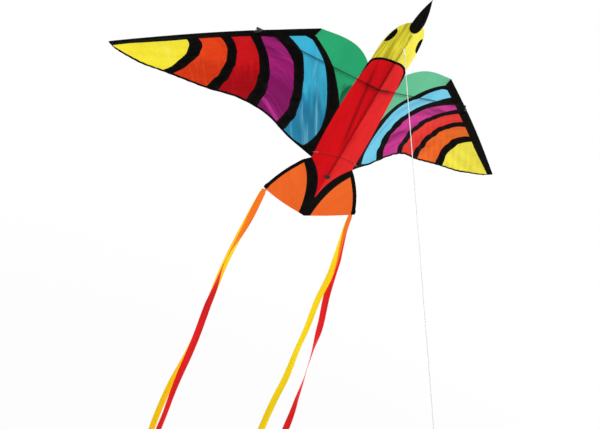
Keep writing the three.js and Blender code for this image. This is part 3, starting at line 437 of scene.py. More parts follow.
class ShaderSheet:
    """The nodes of one material or world, with short calls that add and join them."""

    def __init__(self, owner: Any, form: Optional["SailForm"] = None) -> None:
        """Start with no nodes; the form is the sail's, for what lies behind its cloth."""
        owner.use_nodes = True
        self.owner, self.tree, self.form = owner, owner.node_tree, form
        self.tree.nodes.clear()

    def add(self, kind: str, inputs: Optional[dict[Any, Any]] = None, **settings: Any) -> Any:
        """Add a node.

        Args:
            kind: the node's type without its "ShaderNode" start.
            inputs: input names or numbers with a value, or an output to join to it.
            settings: the node's own properties.

        Returns:
            The node's outputs.
        """
        node = self.tree.nodes.new(f"ShaderNode{kind}")
        for label, value in settings.items():
            setattr(node, label, value)
        for label, value in (inputs or {}).items():
            if isinstance(value, bpy.types.NodeSocket):
                self.tree.links.new(value, node.inputs[label])
            else:
                node.inputs[label].default_value = value
        return node.outputs

    @cached_property
    def coords(self) -> Any:
        """Texture coordinates: "Object" for places, "UV" for cloth coordinates."""
        return self.add("TexCoord")

    def parts(self, which: str = "UV") -> Any:
        """The coordinates taken apart into X, Y and Z."""
        return self.add("SeparateXYZ", {0: self.coords[which]})

    def math(self, operation: str, *values: Any) -> Any:
        """A sum on one, two or three values."""
        return self.add("Math", dict(enumerate(values)), operation=operation)[0]

    def times(self, a: Any, b: Any) -> Any:
        """The product of two values."""
        return self.math("MULTIPLY", a, b)

    def gap(self, a: Any, b: Any) -> Any:
        """How far apart two values are."""
        return self.math("ABSOLUTE", self.math("SUBTRACT", a, b))

    def most(self, a: Any, b: Any) -> Any:
        """The larger of two values."""
        return self.math("MAXIMUM", a, b)

    def mark(self, name: str) -> Any:
        """A value that the mesh keeps for each point."""
        return self.add("Attribute", attribute_name=name)["Fac"]

    def ramp(self, value: Any, low: float, high: float, start: float = 0.0, end: float = 1.0) -> Any:
        """A value carried smoothly from low..high to start..end, and held there."""
        inputs = {"Value": value, "From Min": low, "From Max": high, "To Min": start, "To Max": end}
        return self.add("MapRange", inputs, interpolation_type="SMOOTHSTEP")[0]

    def window(self, value: Any, span: tuple[float, float], soft: float) -> Any:
        """1 between the two ends of a span, with soft ends."""
        low = self.ramp(value, span[0] - soft, span[0] + soft)
        return self.times(low, self.ramp(value, span[1] - soft, span[1] + soft, 1.0, 0.0))

    def cell_lines(self, value: Any, per_metre: float, softness: float) -> Any:
        """Thin lines that repeat along a value given in metres."""
        part = self.math("FRACT", self.times(value, per_metre))
        return self.ramp(self.gap(part, 0.5), 0.5 - softness, 0.5)

    def blend(self, share: Any, a: Any, b: Any) -> Any:
        """Colour a turning into colour b by a share; a triple is a colour from 0 to 255."""
        a, b = (paint(c) if isinstance(c, tuple) else c for c in (a, b))
        return self.add("Mix", {0: share, 6: a, 7: b}, data_type="RGBA")[2]

    def noise(self, where: Any, scale: float, detail: float = 2.0, roughness: float = 0.5) -> Any:
        """Soft noise between 0 and 1 at a place."""
        inputs = {"Vector": where, "Scale": scale, "Detail": detail, "Roughness": roughness}
        return self.add("TexNoise", inputs)["Fac"]

    def folds(self, wide: float, long: float, detail: float, rough: float = 0.6, turn: float = 0.0) -> Any:
        """Noise on the cloth that is stretched along it.

        Args:
            wide: folds for each metre across.
            long: folds for each metre along.
            detail: of the noise.
            rough: likewise.
            turn: degrees that the cloth is turned by before it is stretched.

        Returns:
            An output between 0 and 1.
        """
        where = self.coords["UV"]
        if turn:
            where = self.add("Mapping", {"Vector": where, "Rotation": (0.0, 0.0, math.radians(turn))})[0]
        where = self.add("Mapping", {"Vector": where, "Scale": (wide, long, 1.0)})[0]
        return self.noise(where, 1.0, detail, rough)

    def relief(self, *layers: tuple[Any, float, float]) -> Any:
        """Bumps laid on each other, each from a height, a strength and a distance."""
        under: dict[str, Any] = {}
        for height, strength, distance in layers:
            inputs = {"Height": height, "Strength": strength, "Distance": distance, **under}
            under = {"Normal": self.add("Bump", inputs)[0]}
        return under["Normal"]

    def skin(self, colour: Any, roughness: Any, specular: float, relief: Any, **more: Any) -> Any:
        """The plain shader; more names its other inputs, with _ for a space."""
        inputs = {"Base Color": colour, "Roughness": roughness, "Specular IOR Level": specular}
        inputs |= {"Normal": relief} | {k.replace("_", " "): v for k, v in more.items()}
        return self.add("BsdfPrincipled", inputs)[0]

    def sheer(self, skin: Any, lit: Any, relief: Any, share: float) -> Any:
        """A skin that lets a share of the light through in a colour."""
        glow = self.add("BsdfTranslucent", {"Color": lit, "Normal": relief})[0]
        return self.add("MixShader", {0: share, 1: skin, 2: glow})[0]

    def finish(self, shader: Any, kind: str = "OutputMaterial") -> Any:
        """Join the shader to the surface."""
        self.add(kind, {"Surface": shader})
        return self.owner


@dataclass(frozen=True)
class SparShade:
    """A painted shadow: the dark line that the spreader casts where it lies behind thin cloth.

    The rod's plane is square to the sail: a point's distance from it is its dot product with the
    plane's normal. The line is wider at the tube on the middle and at the socket on each end.
    Sizes are in metres.
    """

    rod: float = 0.0016  # half width of the line over the rod
    wide: float = 0.0032  # the same over tube and socket
    tube_end: float = 0.045  # how far out the tube reaches
    socket_start: float = 0.3576
    socket_end: float = 0.4035
    depth: float = 0.78  # how dark the line is, from 0 to 1

    def draw(self, sheet: ShaderSheet) -> Any:
        """Nodes for the share of shade at each point.

        Args:
            sheet: the material that needs it.

        Returns:
            An output that is 0 on bare cloth.
        """
        place = sheet.parts("Object")
        out = sheet.math("ABSOLUTE", place[0])
        inner, outer = flown(sheet.form.spreader_at(np.array([0.0, sheet.form.side_x])))
        normal = unit(np.cross(outer - inner, np.array([0.0, 1.0, 0.0])))
        mirrored = sheet.add("CombineXYZ", {0: out, 1: place[1], 2: place[2]})[0]
        dot = sheet.add("VectorMath", {0: mirrored, 1: tuple(normal)}, operation="DOT_PRODUCT")["Value"]
        on_tube = sheet.math("LESS_THAN", out, self.tube_end)
        is_wide = sheet.most(on_tube, sheet.math("GREATER_THAN", out, self.socket_start))
        half = sheet.math("MULTIPLY_ADD", is_wide, self.wide - self.rod, self.rod)
        share = sheet.math("DIVIDE", sheet.gap(dot, float(inner @ normal)), half)
        inside = sheet.math("LESS_THAN", out, self.socket_end)
        return sheet.times(sheet.times(sheet.ramp(share, 0.7, 1.4, 1.0, 0.0), inside), self.depth)


@dataclass(frozen=True)
class SeamShade:
    """What shows along the middle of the body: the seam, the spine behind it, one soft crease.

    The painted shade streak runs down the left half, nearer to the seam the lower it gets. Sizes are in
    metres.
    """

    seam: float = 0.0009  # half width of the seam's line
    spine: float = 0.0034  # half width of the spine's painted shade
    spine_span: tuple[float, float] = (-0.15, -0.062)  # heights where the spine meets the cloth and its painted shade shows
    crease_span: tuple[float, float] = (-0.33, -0.085)  # heights where the painted shade streak shows
    crease_foot: float = 0.013  # its distance from the seam at its foot
    crease_lean: float = 0.12  # how much further out it is for each metre up
    crease_half: float = 0.0095  # half its width

    def draw(self, sheet: ShaderSheet) -> Any:
        """Nodes for the share of shade at each point.

        Args:
            sheet: the material that needs it.

        Returns:
            An output that is 0 on bare cloth.
        """
        out, _, height = sheet.parts("Object")
        away = sheet.math("ABSOLUTE", out)
        # the seam's own dark line, and the spine's painted shade
        line, behind = (sheet.ramp(away, 0.2 * half, half, 0.5, 0.0) for half in (self.seam, self.spine))
        behind = sheet.times(behind, sheet.window(height, self.spine_span, 0.012))
        # one soft painted shade streak down the left half, nearer the seam lower down
        start = self.crease_foot - self.crease_lean * self.crease_span[0]
        middle = sheet.math("MULTIPLY_ADD", height, self.crease_lean, start)
        beside = sheet.math("ABSOLUTE", sheet.math("ADD", out, middle))
        crease = sheet.ramp(beside, 0.0, self.crease_half, 0.52, 0.0)
        crease = sheet.times(crease, sheet.window(height, self.crease_span, 0.05))
        return sheet.most(sheet.most(line, behind), crease)


@dataclass(frozen=True)
class Finish:
    """A material of the kite, and the record's slot that it fills."""

    name: str
    slot: str

    def make(self, form: "SailForm") -> bpy.types.Material:
        """Build the material."""
        sheet = ShaderSheet(bpy.data.materials.new(self.name), form)
        return sheet.finish(self.draw(sheet))

    def draw(self, sheet: ShaderSheet) -> Any:
        """Add the finish's nodes; each kind of finish has its own.

        Args:
            sheet: the material's nodes.

        Returns:
            The shader.
        """
        raise NotImplementedError(self.name)


@dataclass(frozen=True)
class RipstopCloth(Finish):
    """Light satin ripstop: a square grid of thicker threads, soft folds, light through it."""

    colour: Rgb  # its dye in full light
    shade: Rgb  # painted shade in the hollows of folds and at the panel's foot; also the threads' tint
    through: Rgb  # where light comes through it
    folds: float = 0.35  # how strongly folds show, in bumps and painted shade, from 0 to 1
    fold_scale: tuple[float, float] = (26.0, 5.0)  # folds for each metre across and along
    fold_turn: float = -24.0  # degrees from the cloth's length to the folds
    spar: Optional[SparShade] = None  # painted shadow of the spreader where it lies behind this cloth
    seam: Optional[SeamShade] = None  # the seam's line, and painted shade where this cloth covers the spine
    bright: Rgb = (255, 255, 255)  # painted highlight on the crests of pulled creases
    dusk: float = 0.0  # how dark the painted shade at the panel's foot gets, from 0 to 1
    glint: float = 0.0  # how bright the painted highlights on pulled creases are
    translucency: float = 0.42  # share of the light that passes through
    grid_per_metre: float = 210.0  # thick threads for each metre

    def draw(self, sheet: ShaderSheet) -> Any:
        """Colour both faces: painted shade and highlights, threads, painted shadows of what lies behind.

        Args:
            sheet: the material's nodes.

        Returns:
            The shader.
        """
        wide, long = self.fold_scale
        across, along, _ = sheet.parts()
        grid = sheet.most(*(sheet.cell_lines(way, self.grid_per_metre, 0.11) for way in (across, along)))
        soft = sheet.folds(wide, long, 3.0, 0.5, self.fold_turn)
        sharp = sheet.folds(2.6 * wide, 1.7 * long, 2.0, 0.6, self.fold_turn - 14.0)
        rays = sheet.folds(2.4 * wide, 0.8 * long, 2.0, 0.6, self.fold_turn)
        fold = sheet.math("MULTIPLY_ADD", sharp, 0.35, sheet.times(soft, 0.65))
        cloudy = sheet.ramp(sheet.noise(sheet.coords["Object"], 7.0), 0.35, 0.7, 0.0, 0.22)
        # painted shade in the hollows of the folds, plus cloudy tone that differs at random
        fold_shade_and_tone = sheet.ramp(fold, 0.56, 0.3, 0.0, self.folds)
        fold_shade_and_tone = sheet.math("ADD", fold_shade_and_tone, sheet.times(cloudy, self.folds))
        foot = sheet.mark("foot")
        # painted shade that gathers at the panel's foot
        low = sheet.ramp(sheet.math("MULTIPLY_ADD", foot, 1.3, rays), 1.14, 1.42, 0.0, self.dusk)
        # painted highlights on the crests of pulled creases
        highlight = sheet.times(sheet.ramp(rays, 0.54, 0.7, 0.0, self.glint), sheet.ramp(foot, 0.1, 0.5))
        tints = [(sheet.most(fold_shade_and_tone, low), self.shade), (highlight, self.bright)]
        tints.append((sheet.times(grid, 0.16), self.shade))
        # painted shadow of the spreader behind the cloth
        if self.spar:
            tints.append((self.spar.draw(sheet), (24, 18, 20)))
        # the seam's line, painted shade of the spine and the painted shade streak
        if self.seam:
            tints.append((self.seam.draw(sheet), (70, 12, 14)))
        colour, lit = self.colour, sheet.blend(sheet.mark("shaded"), self.through, self.colour)
        for share, tint in tints:
            colour, lit = (sheet.blend(share, face, tint) for face in (colour, lit))
        weave = sheet.noise(sheet.coords["UV"], 2600.0, 1.0)
        soft_folds = (fold, 0.55 * self.folds + 0.12, 0.006)
        relief = sheet.relief(soft_folds, (grid, 0.22, 0.0003), (weave, 0.12, 0.0002))
        satin = sheet.skin(colour, 0.5, 0.1, relief, Sheen_Weight=0.02, Sheen_Roughness=0.35)
        return sheet.sheer(satin, lit, relief, self.translucency)


@dataclass(frozen=True)
class BlackBinding(Finish):
    """Black woven cloth with rows of pale grey stitches where it is sewn down.

    The second cloth coordinate runs 0 to 1 across the strip, the first is metres along it.
    """

    rows: tuple[float, ...] = (0.13, 0.87)  # where the stitch rows lie across the strip
    row_half: float = 0.035  # half the width of a row, as a share of the strip
    stitch_per_metre: float = 330.0

    def draw(self, sheet: ShaderSheet) -> Any:
        """Rib, puckers and stitches.

        Args:
            sheet: the material's nodes.

        Returns:
            The shader.
        """
        along, across, _ = sheet.parts()
        beat = sheet.math("FRACT", sheet.times(along, self.stitch_per_metre))
        dash = sheet.ramp(sheet.gap(beat, 0.5), 0.3, 0.42, 1.0, 0.0)
        stitch: Any = 0.0
        for row in self.rows:
            on_row = sheet.ramp(sheet.gap(across, row), 0.6 * self.row_half, self.row_half, 1.0, 0.0)
            stitch = sheet.most(stitch, sheet.times(on_row, dash))
        rib = sheet.math("SINE", sheet.times(along, 7000.0))
        fray = sheet.noise(sheet.coords["Object"], 60.0, 3.0)
        pucker = sheet.folds(120.0, 2.0, 2.0, 0.5)
        cloth = sheet.blend(sheet.ramp(fray, 0.4, 0.7), (18, 17, 16), (26, 24, 23))
        colour = sheet.blend(sheet.times(stitch, 0.3), cloth, (60, 57, 55))
        relief = sheet.relief((pucker, 0.35, 0.0012), (rib, 0.18, 0.0002), (stitch, 0.5, 0.0004))
        return sheet.skin(colour, 0.62, 0.02, relief, Sheen_Weight=0.004, Sheen_Roughness=0.4)


@dataclass(frozen=True)
class SatinRibbon(Finish):
    """Thin taffeta streamer: a painted glow for light from behind, darker towards its cut edges."""

    colour: Rgb
    shade: Rgb  # painted shade in the hollows of creases, and towards the cut edges
    behind: Rgb  # painted colour of light through both ribbons where the other lies behind it
    translucency: float = 0.25
    glow: float = 0.18  # stands for the light that comes through from behind
    middle: float = 0.011  # half its width, in metres

    def draw(self, sheet: ShaderSheet) -> Any:
        """Fine cross weave, creases with painted shade, painted light through its neighbour.

        Args:
            sheet: the material's nodes.

        Returns:
            The shader.
        """
        across, along, _ = sheet.parts()
        crease = sheet.folds(160.0, 9.0, 3.0)
        weft = sheet.math("SINE", sheet.times(along, 5200.0))
        # darker towards the cut edges, and painted shade in the hollows of creases
        hem = sheet.ramp(sheet.gap(across, self.middle), 0.0092, 0.0105, 0.0, 0.35)
        share = sheet.most(hem, sheet.ramp(crease, 0.55, 0.25, 0.0, 0.55))
        own = sheet.blend(share, self.colour, self.shade)
        # painted light through both ribbons where the other lies behind
        colour = sheet.blend(sheet.mark("neighbour"), own, self.behind)
        relief = sheet.relief((crease, 0.4, 0.002), (weft, 0.05, 0.0001))
        satin = sheet.skin(colour, 0.4, 0.2, relief, Emission_Color=colour, Emission_Strength=self.glow)
        return sheet.sheer(satin, colour, relief, self.translucency)


@dataclass(frozen=True)
class DrawnFibre(Finish):
    """Resin rod with glass fibres along it, under a glossy skin."""

    colour: Rgb
    streak: Rgb  # the fibres that show in it
    roughness: float = 0.28
    covered: float = 0.0  # how far out a red cloth channel hides it, in metres

    def draw(self, sheet: ShaderSheet) -> Any:
        """Long thin streaks and fine scuffs, and the channel's cloth.

        Args:
            sheet: the material's nodes.

        Returns:
            The shader.
        """
        fibre = sheet.folds(9.0, 46.0, 4.0, 0.7)
        scuff = sheet.noise(sheet.coords["Object"], 140.0, 3.0, 0.7)
        colour = sheet.blend(sheet.ramp(fibre, 0.45, 0.75), self.colour, self.streak)
        gloss = sheet.ramp(scuff, 0.4, 0.75, self.roughness, self.roughness + 0.25)
        if self.covered:
            out = sheet.math("ABSOLUTE", sheet.parts("Object")[0])
            channel = sheet.ramp(out, self.covered, self.covered + 0.001, 1.0, 0.0)
            colour = sheet.blend(channel, colour, (176, 16, 22))
            gloss = sheet.math("MULTIPLY_ADD", channel, 0.3, gloss)
        relief = sheet.relief((fibre, 0.12, 0.0003))
        return sheet.skin(colour, gloss, 0.3, relief, Coat_Weight=0.1, Coat_Roughness=0.3)


@dataclass(frozen=True)
class MouldedPlastic(Finish):
    """Black moulded nylon or vinyl with a fine grain."""

    colour: Rgb
    worn: Rgb  # on rubbed places
    roughness: float = 0.46
    grain: float = 900.0  # grains for each metre

    def draw(self, sheet: ShaderSheet) -> Any:
        """Grain and rubbed patches.

        Args:
            sheet: the material's nodes.

        Returns:
            The shader.
        """
        place = sheet.coords["Object"]
        rub = sheet.noise(place, 85.0, 4.0, 0.65)
        colour = sheet.blend(sheet.ramp(rub, 0.5, 0.78), self.colour, self.worn)
        gloss = sheet.ramp(rub, 0.35, 0.7, self.roughness - 0.08, self.roughness + 0.14)
        return sheet.skin(colour, gloss, 0.3, sheet.relief((sheet.noise(place, self.grain), 0.25, 0.0002)))


@dataclass(frozen=True)
class BraidedCord(Finish):
    """White braided line: two sets of strands that cross on the slant."""

    strands: float = 6.0  # round the cord in each set
    turns_per_metre: float = 95.0  # turns of a strand round the cord

    def draw(self, sheet: ShaderSheet) -> Any:
        """Strands from two slanting sines, and lint.

        Args:
            sheet: the material's nodes.

        Returns:
            The shader.
        """
        cloth = sheet.parts()
        along = sheet.times(cloth[0], self.turns_per_metre * TURN)
        around = sheet.times(cloth[1], self.strands * TURN)
        slants = (sheet.math(way, around, along) for way in ("ADD", "SUBTRACT"))
        braid = sheet.most(*(sheet.math("SINE", slant) for slant in slants))
        lint = sheet.noise(sheet.coords["Object"], 900.0)
        colour = sheet.blend(sheet.ramp(braid, -0.2, 0.8), (246, 246, 244), (255, 255, 254))
        colour = sheet.blend(sheet.ramp(lint, 0.5, 0.8, 0.0, 0.3), colour, (238, 236, 228))
        return sheet.skin(colour, 0.68, 0.5, sheet.relief((braid, 0.5, 0.0003)), Sheen_Weight=0.2)


# The sail as one surface


@dataclass(frozen=True)
class SailForm:
    """The sail: station s runs from body to tip, v from leading to trailing edge."""

    half_span: float = 754.0  # from the seam to the tip
    shoulder: Point = (249.0, 55.0, -50.0)  # where the free edge meets the leading edge's rod
    wing_rise_deg: float = 20.5  # how steeply the leading edges rise to the back
    wing_sweep_deg: float = 32.0  # how steeply they fall to the tips
    leading_bow: float = 8.0  # how far the rod bows
    neck: Point = (67.0, 27.0, -90.0)  # where the free edge leaves the body
    neck_curve_rise: float = 59.0  # how strongly it leaves upwards
    rump: Point = (78.0, 33.0, -434.0)  # where the trailing edge leaves the body
    flank_swell: float = 7.0  # bulge of the flank
    tip_chord: float = 22.0  # length of the sail at the tip
    fore_billow: float = 5.0  # how far the wind fills the sail before the spreader
    aft_billow: float = 32.0  # the same behind it
    hem_width: float = 4.0  # of the trailing edge
    trailing_back: tuple[float, ...] = (0, 22, 39, 67, 83, 85, 66, 38, 0)  # behind a straight line
    trailing_drop: tuple[float, ...] = (0, -15, -40, -34, -9, 5, 13, 14, 0)  # below that line
    seam_tilt_deg: float = 2.66  # lean of the belly seam
    spreader_z: float = -154.0  # height of the spreader at the spine
    spreader_standoff: float = 7.75  # from its middle to the sail
    side_x: float = 401.6  # how far out it meets the leading edge
    socket_pitch_deg: float = 36.0  # turn of its socket round the leading edge
    socket_reach: float = 10.5  # from the leading edge's rod to the socket
    sleeve_width: float = 26.0  # of the leading edge's sleeve
    sleeve_end_width: float = 19.0  # the same at the tip
    ripple: float = 2.6  # how deep the cloth ripples towards its trailing edge
    ripple_length: float = 58.0  # from one ripple to the next
    rod_radius: float = 2.4  # of the leading edge's rod
    spreader_radius: float = 2.0

    @property
    def reach(self) -> float:
        """Millimetres from flank to tip that the stations share."""
        return self.half_span - self.neck[0]

    def station(self, x: float) -> float:
        """The station of a distance out."""
        return (x - self.neck[0]) / self.reach

    @property
    def shoulder_station(self) -> float:
        """The station where the rod starts."""
        return self.station(self.shoulder[0])

    @property
    def side_station(self) -> float:
        """The station where the spreader meets the leading edge."""
        return self.station(self.side_x)

    @cached_property
    def tip(self) -> Array:
        """The front corner of the wing tip."""
        run = self.half_span - self.shoulder[0]
        rise, fall = (math.tan(math.radians(a)) for a in (self.wing_rise_deg, self.wing_sweep_deg))
        return np.array(self.shoulder) + run * np.array([1.0, rise, -fall])

    def leading_edge(self, s: Any) -> Array:
        """Points of the leading edge: a free curve up to the shoulder, then a bowed rod.

        Args:
            s: stations.

        Returns:
            Points in the kite frame.
        """
        s = np.asarray(s, float)
        start = self.shoulder_station
        t = np.clip(s / start, 0.0, 1.0)
        nx, ny, nz = self.neck
        sx, sy, sz = self.shoulder
        height = bezier4(nz, nz + self.neck_curve_rise, sz, sz, t)
        free = xyz(lerp(nx, sx, t), bezier4(ny, ny, sy - 1.0, sy, t), height)
        u = np.maximum((s - start) / (1.0 - start), 0.0)
        rod = lerp(np.array(self.shoulder), self.tip, u[..., None])
        rod = rod + xyz(0.0, 0.0, self.leading_bow * np.sin(math.pi * u))
        return np.where((s < start)[..., None], free, rod)

    @cached_property
    def trailing_knots(self) -> Array:
        """Points that the trailing edge runs through, with one more beyond each end."""
        rear = self.tip + unit(np.array([-0.76, 0.25, -0.6])) * self.tip_chord
        knots = lerp(np.array(self.rump), rear, steps(len(self.trailing_back) - 1)[:, None])
        knots = knots + xyz(0.0, self.trailing_back, -np.array(self.trailing_drop, float))
        return np.concatenate([2.0 * knots[:1] - knots[1:2], knots, 2.0 * knots[-1:] - knots[-2:-1]])

    def trailing_edge(self, s: Any) -> Array:
        """Points of the trailing edge: a smooth curve through its knots."""
        place = np.clip(np.asarray(s, float), 0.0, 1.0) * (len(self.trailing_knots) - 3)
        return spline(self.trailing_knots, place)

    def seam_back(self, z: Any) -> Any:
        """How far back the belly seam lies at a height."""
        return -np.asarray(z, float) * math.tan(math.radians(self.seam_tilt_deg))

    @cached_property
    def spreader_ends(self) -> Array:
        """The spreader's line: its point on the middle plane, and its point in the connector."""
        pitch = math.radians(self.socket_pitch_deg)
        cos, sin = math.cos(pitch), math.sin(pitch)
        outer = self.leading_edge(self.side_station)
        outer = outer + np.array([0.0, sin, -cos]) * 2.0 * self.rod_radius
        outer = outer + np.array([0.0, cos, sin]) * self.socket_reach
        behind = SPINE_BACKSET + SPINE_RADIUS + SLEEVE_WALL + PLAY + TUBE_RADIUS
        back = float(self.seam_back(self.spreader_z)) + behind
        rise = (outer[1] - back) / (outer[0] - TUBE_BEND / 2.0)
        return np.array([[0.0, back - rise * TUBE_BEND / 2.0, self.spreader_z], outer])

    def spreader_at(self, x: Array) -> Array:
        """Points of the spreader's line at distances out."""
        inner, outer = self.spreader_ends
        return lerp(inner, outer, (np.asarray(x, float) / outer[0])[..., None])

    def point(self, s: Any, v: Any) -> Array:
        """The sail's surface.

        A straight chord from edge to edge, plus the swell of the flank, plus a sine of billow
        before and behind the spreader, less a tent-shaped dent where the spreader holds it off.

        Args:
            s: stations.
            v: shares of the way from leading to trailing edge.

        Returns:
            Points in the kite frame.
        """
        s, v = np.broadcast_arrays(np.asarray(s, float), np.asarray(v, float))
        front, rear = self.leading_edge(s), self.trailing_edge(s)
        onset = np.clip(s * self.reach / 80.0, 0.0, 1.0)
        inboard = np.clip((self.side_x - front[..., 0]) / 20.0, 0.0, 1.0)
        swell = self.flank_swell * (1.0 - onset) * 4.0 * v * (1.0 - v)
        spreader = self.spreader_at(front[..., 0])
        crossing = (front[..., 2] - spreader[..., 2]) / (front[..., 2] - rear[..., 2])
        crossing = np.clip(crossing, 0.001, 0.999)
        ahead = v < crossing
        fore = self.fore_billow * inboard * onset * np.sin(math.pi * np.minimum(v / crossing, 1.0))
        t = np.clip((v - crossing) / (1.0 - crossing), 0.0, 1.0)
        taper = np.clip(1.0 - s, 0.0, 1.0) ** 0.8
        aft = self.aft_billow * onset * taper * np.sin(math.pi * t**0.85)
        straight = lerp(front[..., 1], rear[..., 1], crossing)
        dent = np.minimum(0.0, spreader[..., 1] - self.spreader_standoff - straight)
        tent = np.where(ahead, v / crossing, (1.0 - v) / (1.0 - crossing))
        back = 0.4 * swell + np.where(ahead, fore, aft) + dent * inboard * onset * tent**2
        return lerp(front, rear, v[..., None]) + xyz(swell, back + self.ripples(s, v, t) * onset, 0.0)

    def ripples(self, s: Array, v: Array, aft: Array) -> Array:
        """Shallow waves that cross the seams on the slant, deeper behind the spreader.

        Args:
            s: stations.
            v: shares of the way from leading to trailing edge.
            aft: shares of the way from the spreader to the trailing edge.

        Returns:
            Offsets to the back.
        """
        down = v * np.linalg.norm(self.trailing_edge(s) - self.leading_edge(s), axis=-1)
        out, turns = s * self.reach, TURN / self.ripple_length
        waves = np.sin(turns * (down + 0.35 * out)) + 0.5 * np.sin(turns * (1.7 * down - 0.8 * out) + 1.0)
        return self.ripple * waves * smoothstep(aft, 0.05, 0.6) * np.clip((1.0 - s) / 0.12, 0.0, 1.0)

    def chord(self, s: Any) -> tuple[Array, Array]:
        """The chord's length, and the sine of its angle to the rod.

        Args:
            s: stations.

        Returns:
            Lengths and sines.
        """
        run = self.trailing_edge(s) - self.leading_edge(s)
        at = np.clip(s, self.shoulder_station, 0.99)
        along = unit(self.leading_edge(at + 0.01) - self.leading_edge(at))
        return np.linalg.norm(run, axis=-1), np.linalg.norm(np.cross(along, unit(run)), axis=-1)

    def sleeve_reach(self, s: Any) -> Array:
        """The sleeve's width at a station."""
        return lerp(self.sleeve_width, self.sleeve_end_width, smoothstep(s, 0.75, 0.985))

    def sleeve_edge(self, s: Any) -> Array:
        """The share v where the sleeve of the leading edge ends."""
        length, sine = self.chord(s)
        return self.sleeve_reach(s) / (length * sine)

    def hem_edge(self, s: Any, width: Any = 0.0) -> Array:
        """The share v where the hem starts, or a width ahead of there."""
        return 1.0 - (self.hem_width + width) / self.chord(s)[0]

    def between_hems(self, s: Any, f: Any) -> Array:
        """The share v at a share f of the way from sleeve to hem."""
        return lerp(self.sleeve_edge(s), self.hem_edge(s), f)

    def seam_stations(self, seam: Seam, f: Array) -> Array:
        """The stations of a seam at shares f, found by going back and forth.

        Args:
            seam: gives a station for each share v.
            f: shares of the way from sleeve to hem.

        Returns:
            One station for each share.
        """
        s = np.full(np.shape(f), self.shoulder_station)
        for _ in range(24):
            s = seam(self.between_hems(s, f))
        return s


@dataclass(frozen=True)
class SeamPlan:
    """Where the colours of the sail meet.

    Each seam is a cubic through four distances out from the flank, from leading to trailing edge.
    """

    form: SailForm
    curves: dict[str, tuple[float, float, float, float]] = field(default_factory=lambda: {
        "yellow": (520, 440, 448, 496), "yellow_band": (505, 398, 420, 466),
        "orange": (443, 342, 316, 352), "orange_band": (417, 329, 291, 322),
        "red": (358, 291, 203, 235), "red_band": (334, 284, 170, 207),
        "purple": (306, 218, 66, 136), "purple_band": (282, 172, 46, 112),
        "blue": (262, 40, -35, 40),
    })
    tip_station: float = 0.985  # where the last panel ends
    green_reach: float = 0.47  # how far down the flank the corner panel reaches

    def cross(self, name: str) -> Seam:
        """A seam across the wing, as a cubic through its four distances."""
        return lambda v: np.clip(bezier4(*self.curves[name], v) / self.form.reach, 0.0, 1.0)

    def flank(self, v: Array) -> Array:
        """The corner panel's seam: along the sleeve's end, over to the flank, then down it."""
        start = self.form.shoulder_station
        top = float(self.form.sleeve_edge(start))
        share = np.clip((np.asarray(v) - top) / (self.green_reach - top), 0.0, 1.0)
        return start * (1.0 - share) ** 1.2

    def panel(self, dye: Dye) -> tuple[Seam, Seam]:
        """The outer and inner seam of a panel; the first starts at the wing tip."""
        order = [d.value for d in Dye]
        before = order[order.index(dye.value) - 1]
        tip: Seam = lambda v: np.full(np.shape(v), self.tip_station)
        return (tip if dye is Dye.YELLOW else self.cross(f"{before}_band")), self.cross(dye.value)

    def bands(self) -> list[tuple[Seam, Seam]]:
        """The outer and inner edge of each black band."""
        crossed = [(self.cross(n), self.cross(f"{n}_band")) for n in ("yellow", "orange", "red", "purple")]
        return [*crossed, (self.cross("blue"), self.flank)]


# Pieces and where they belong


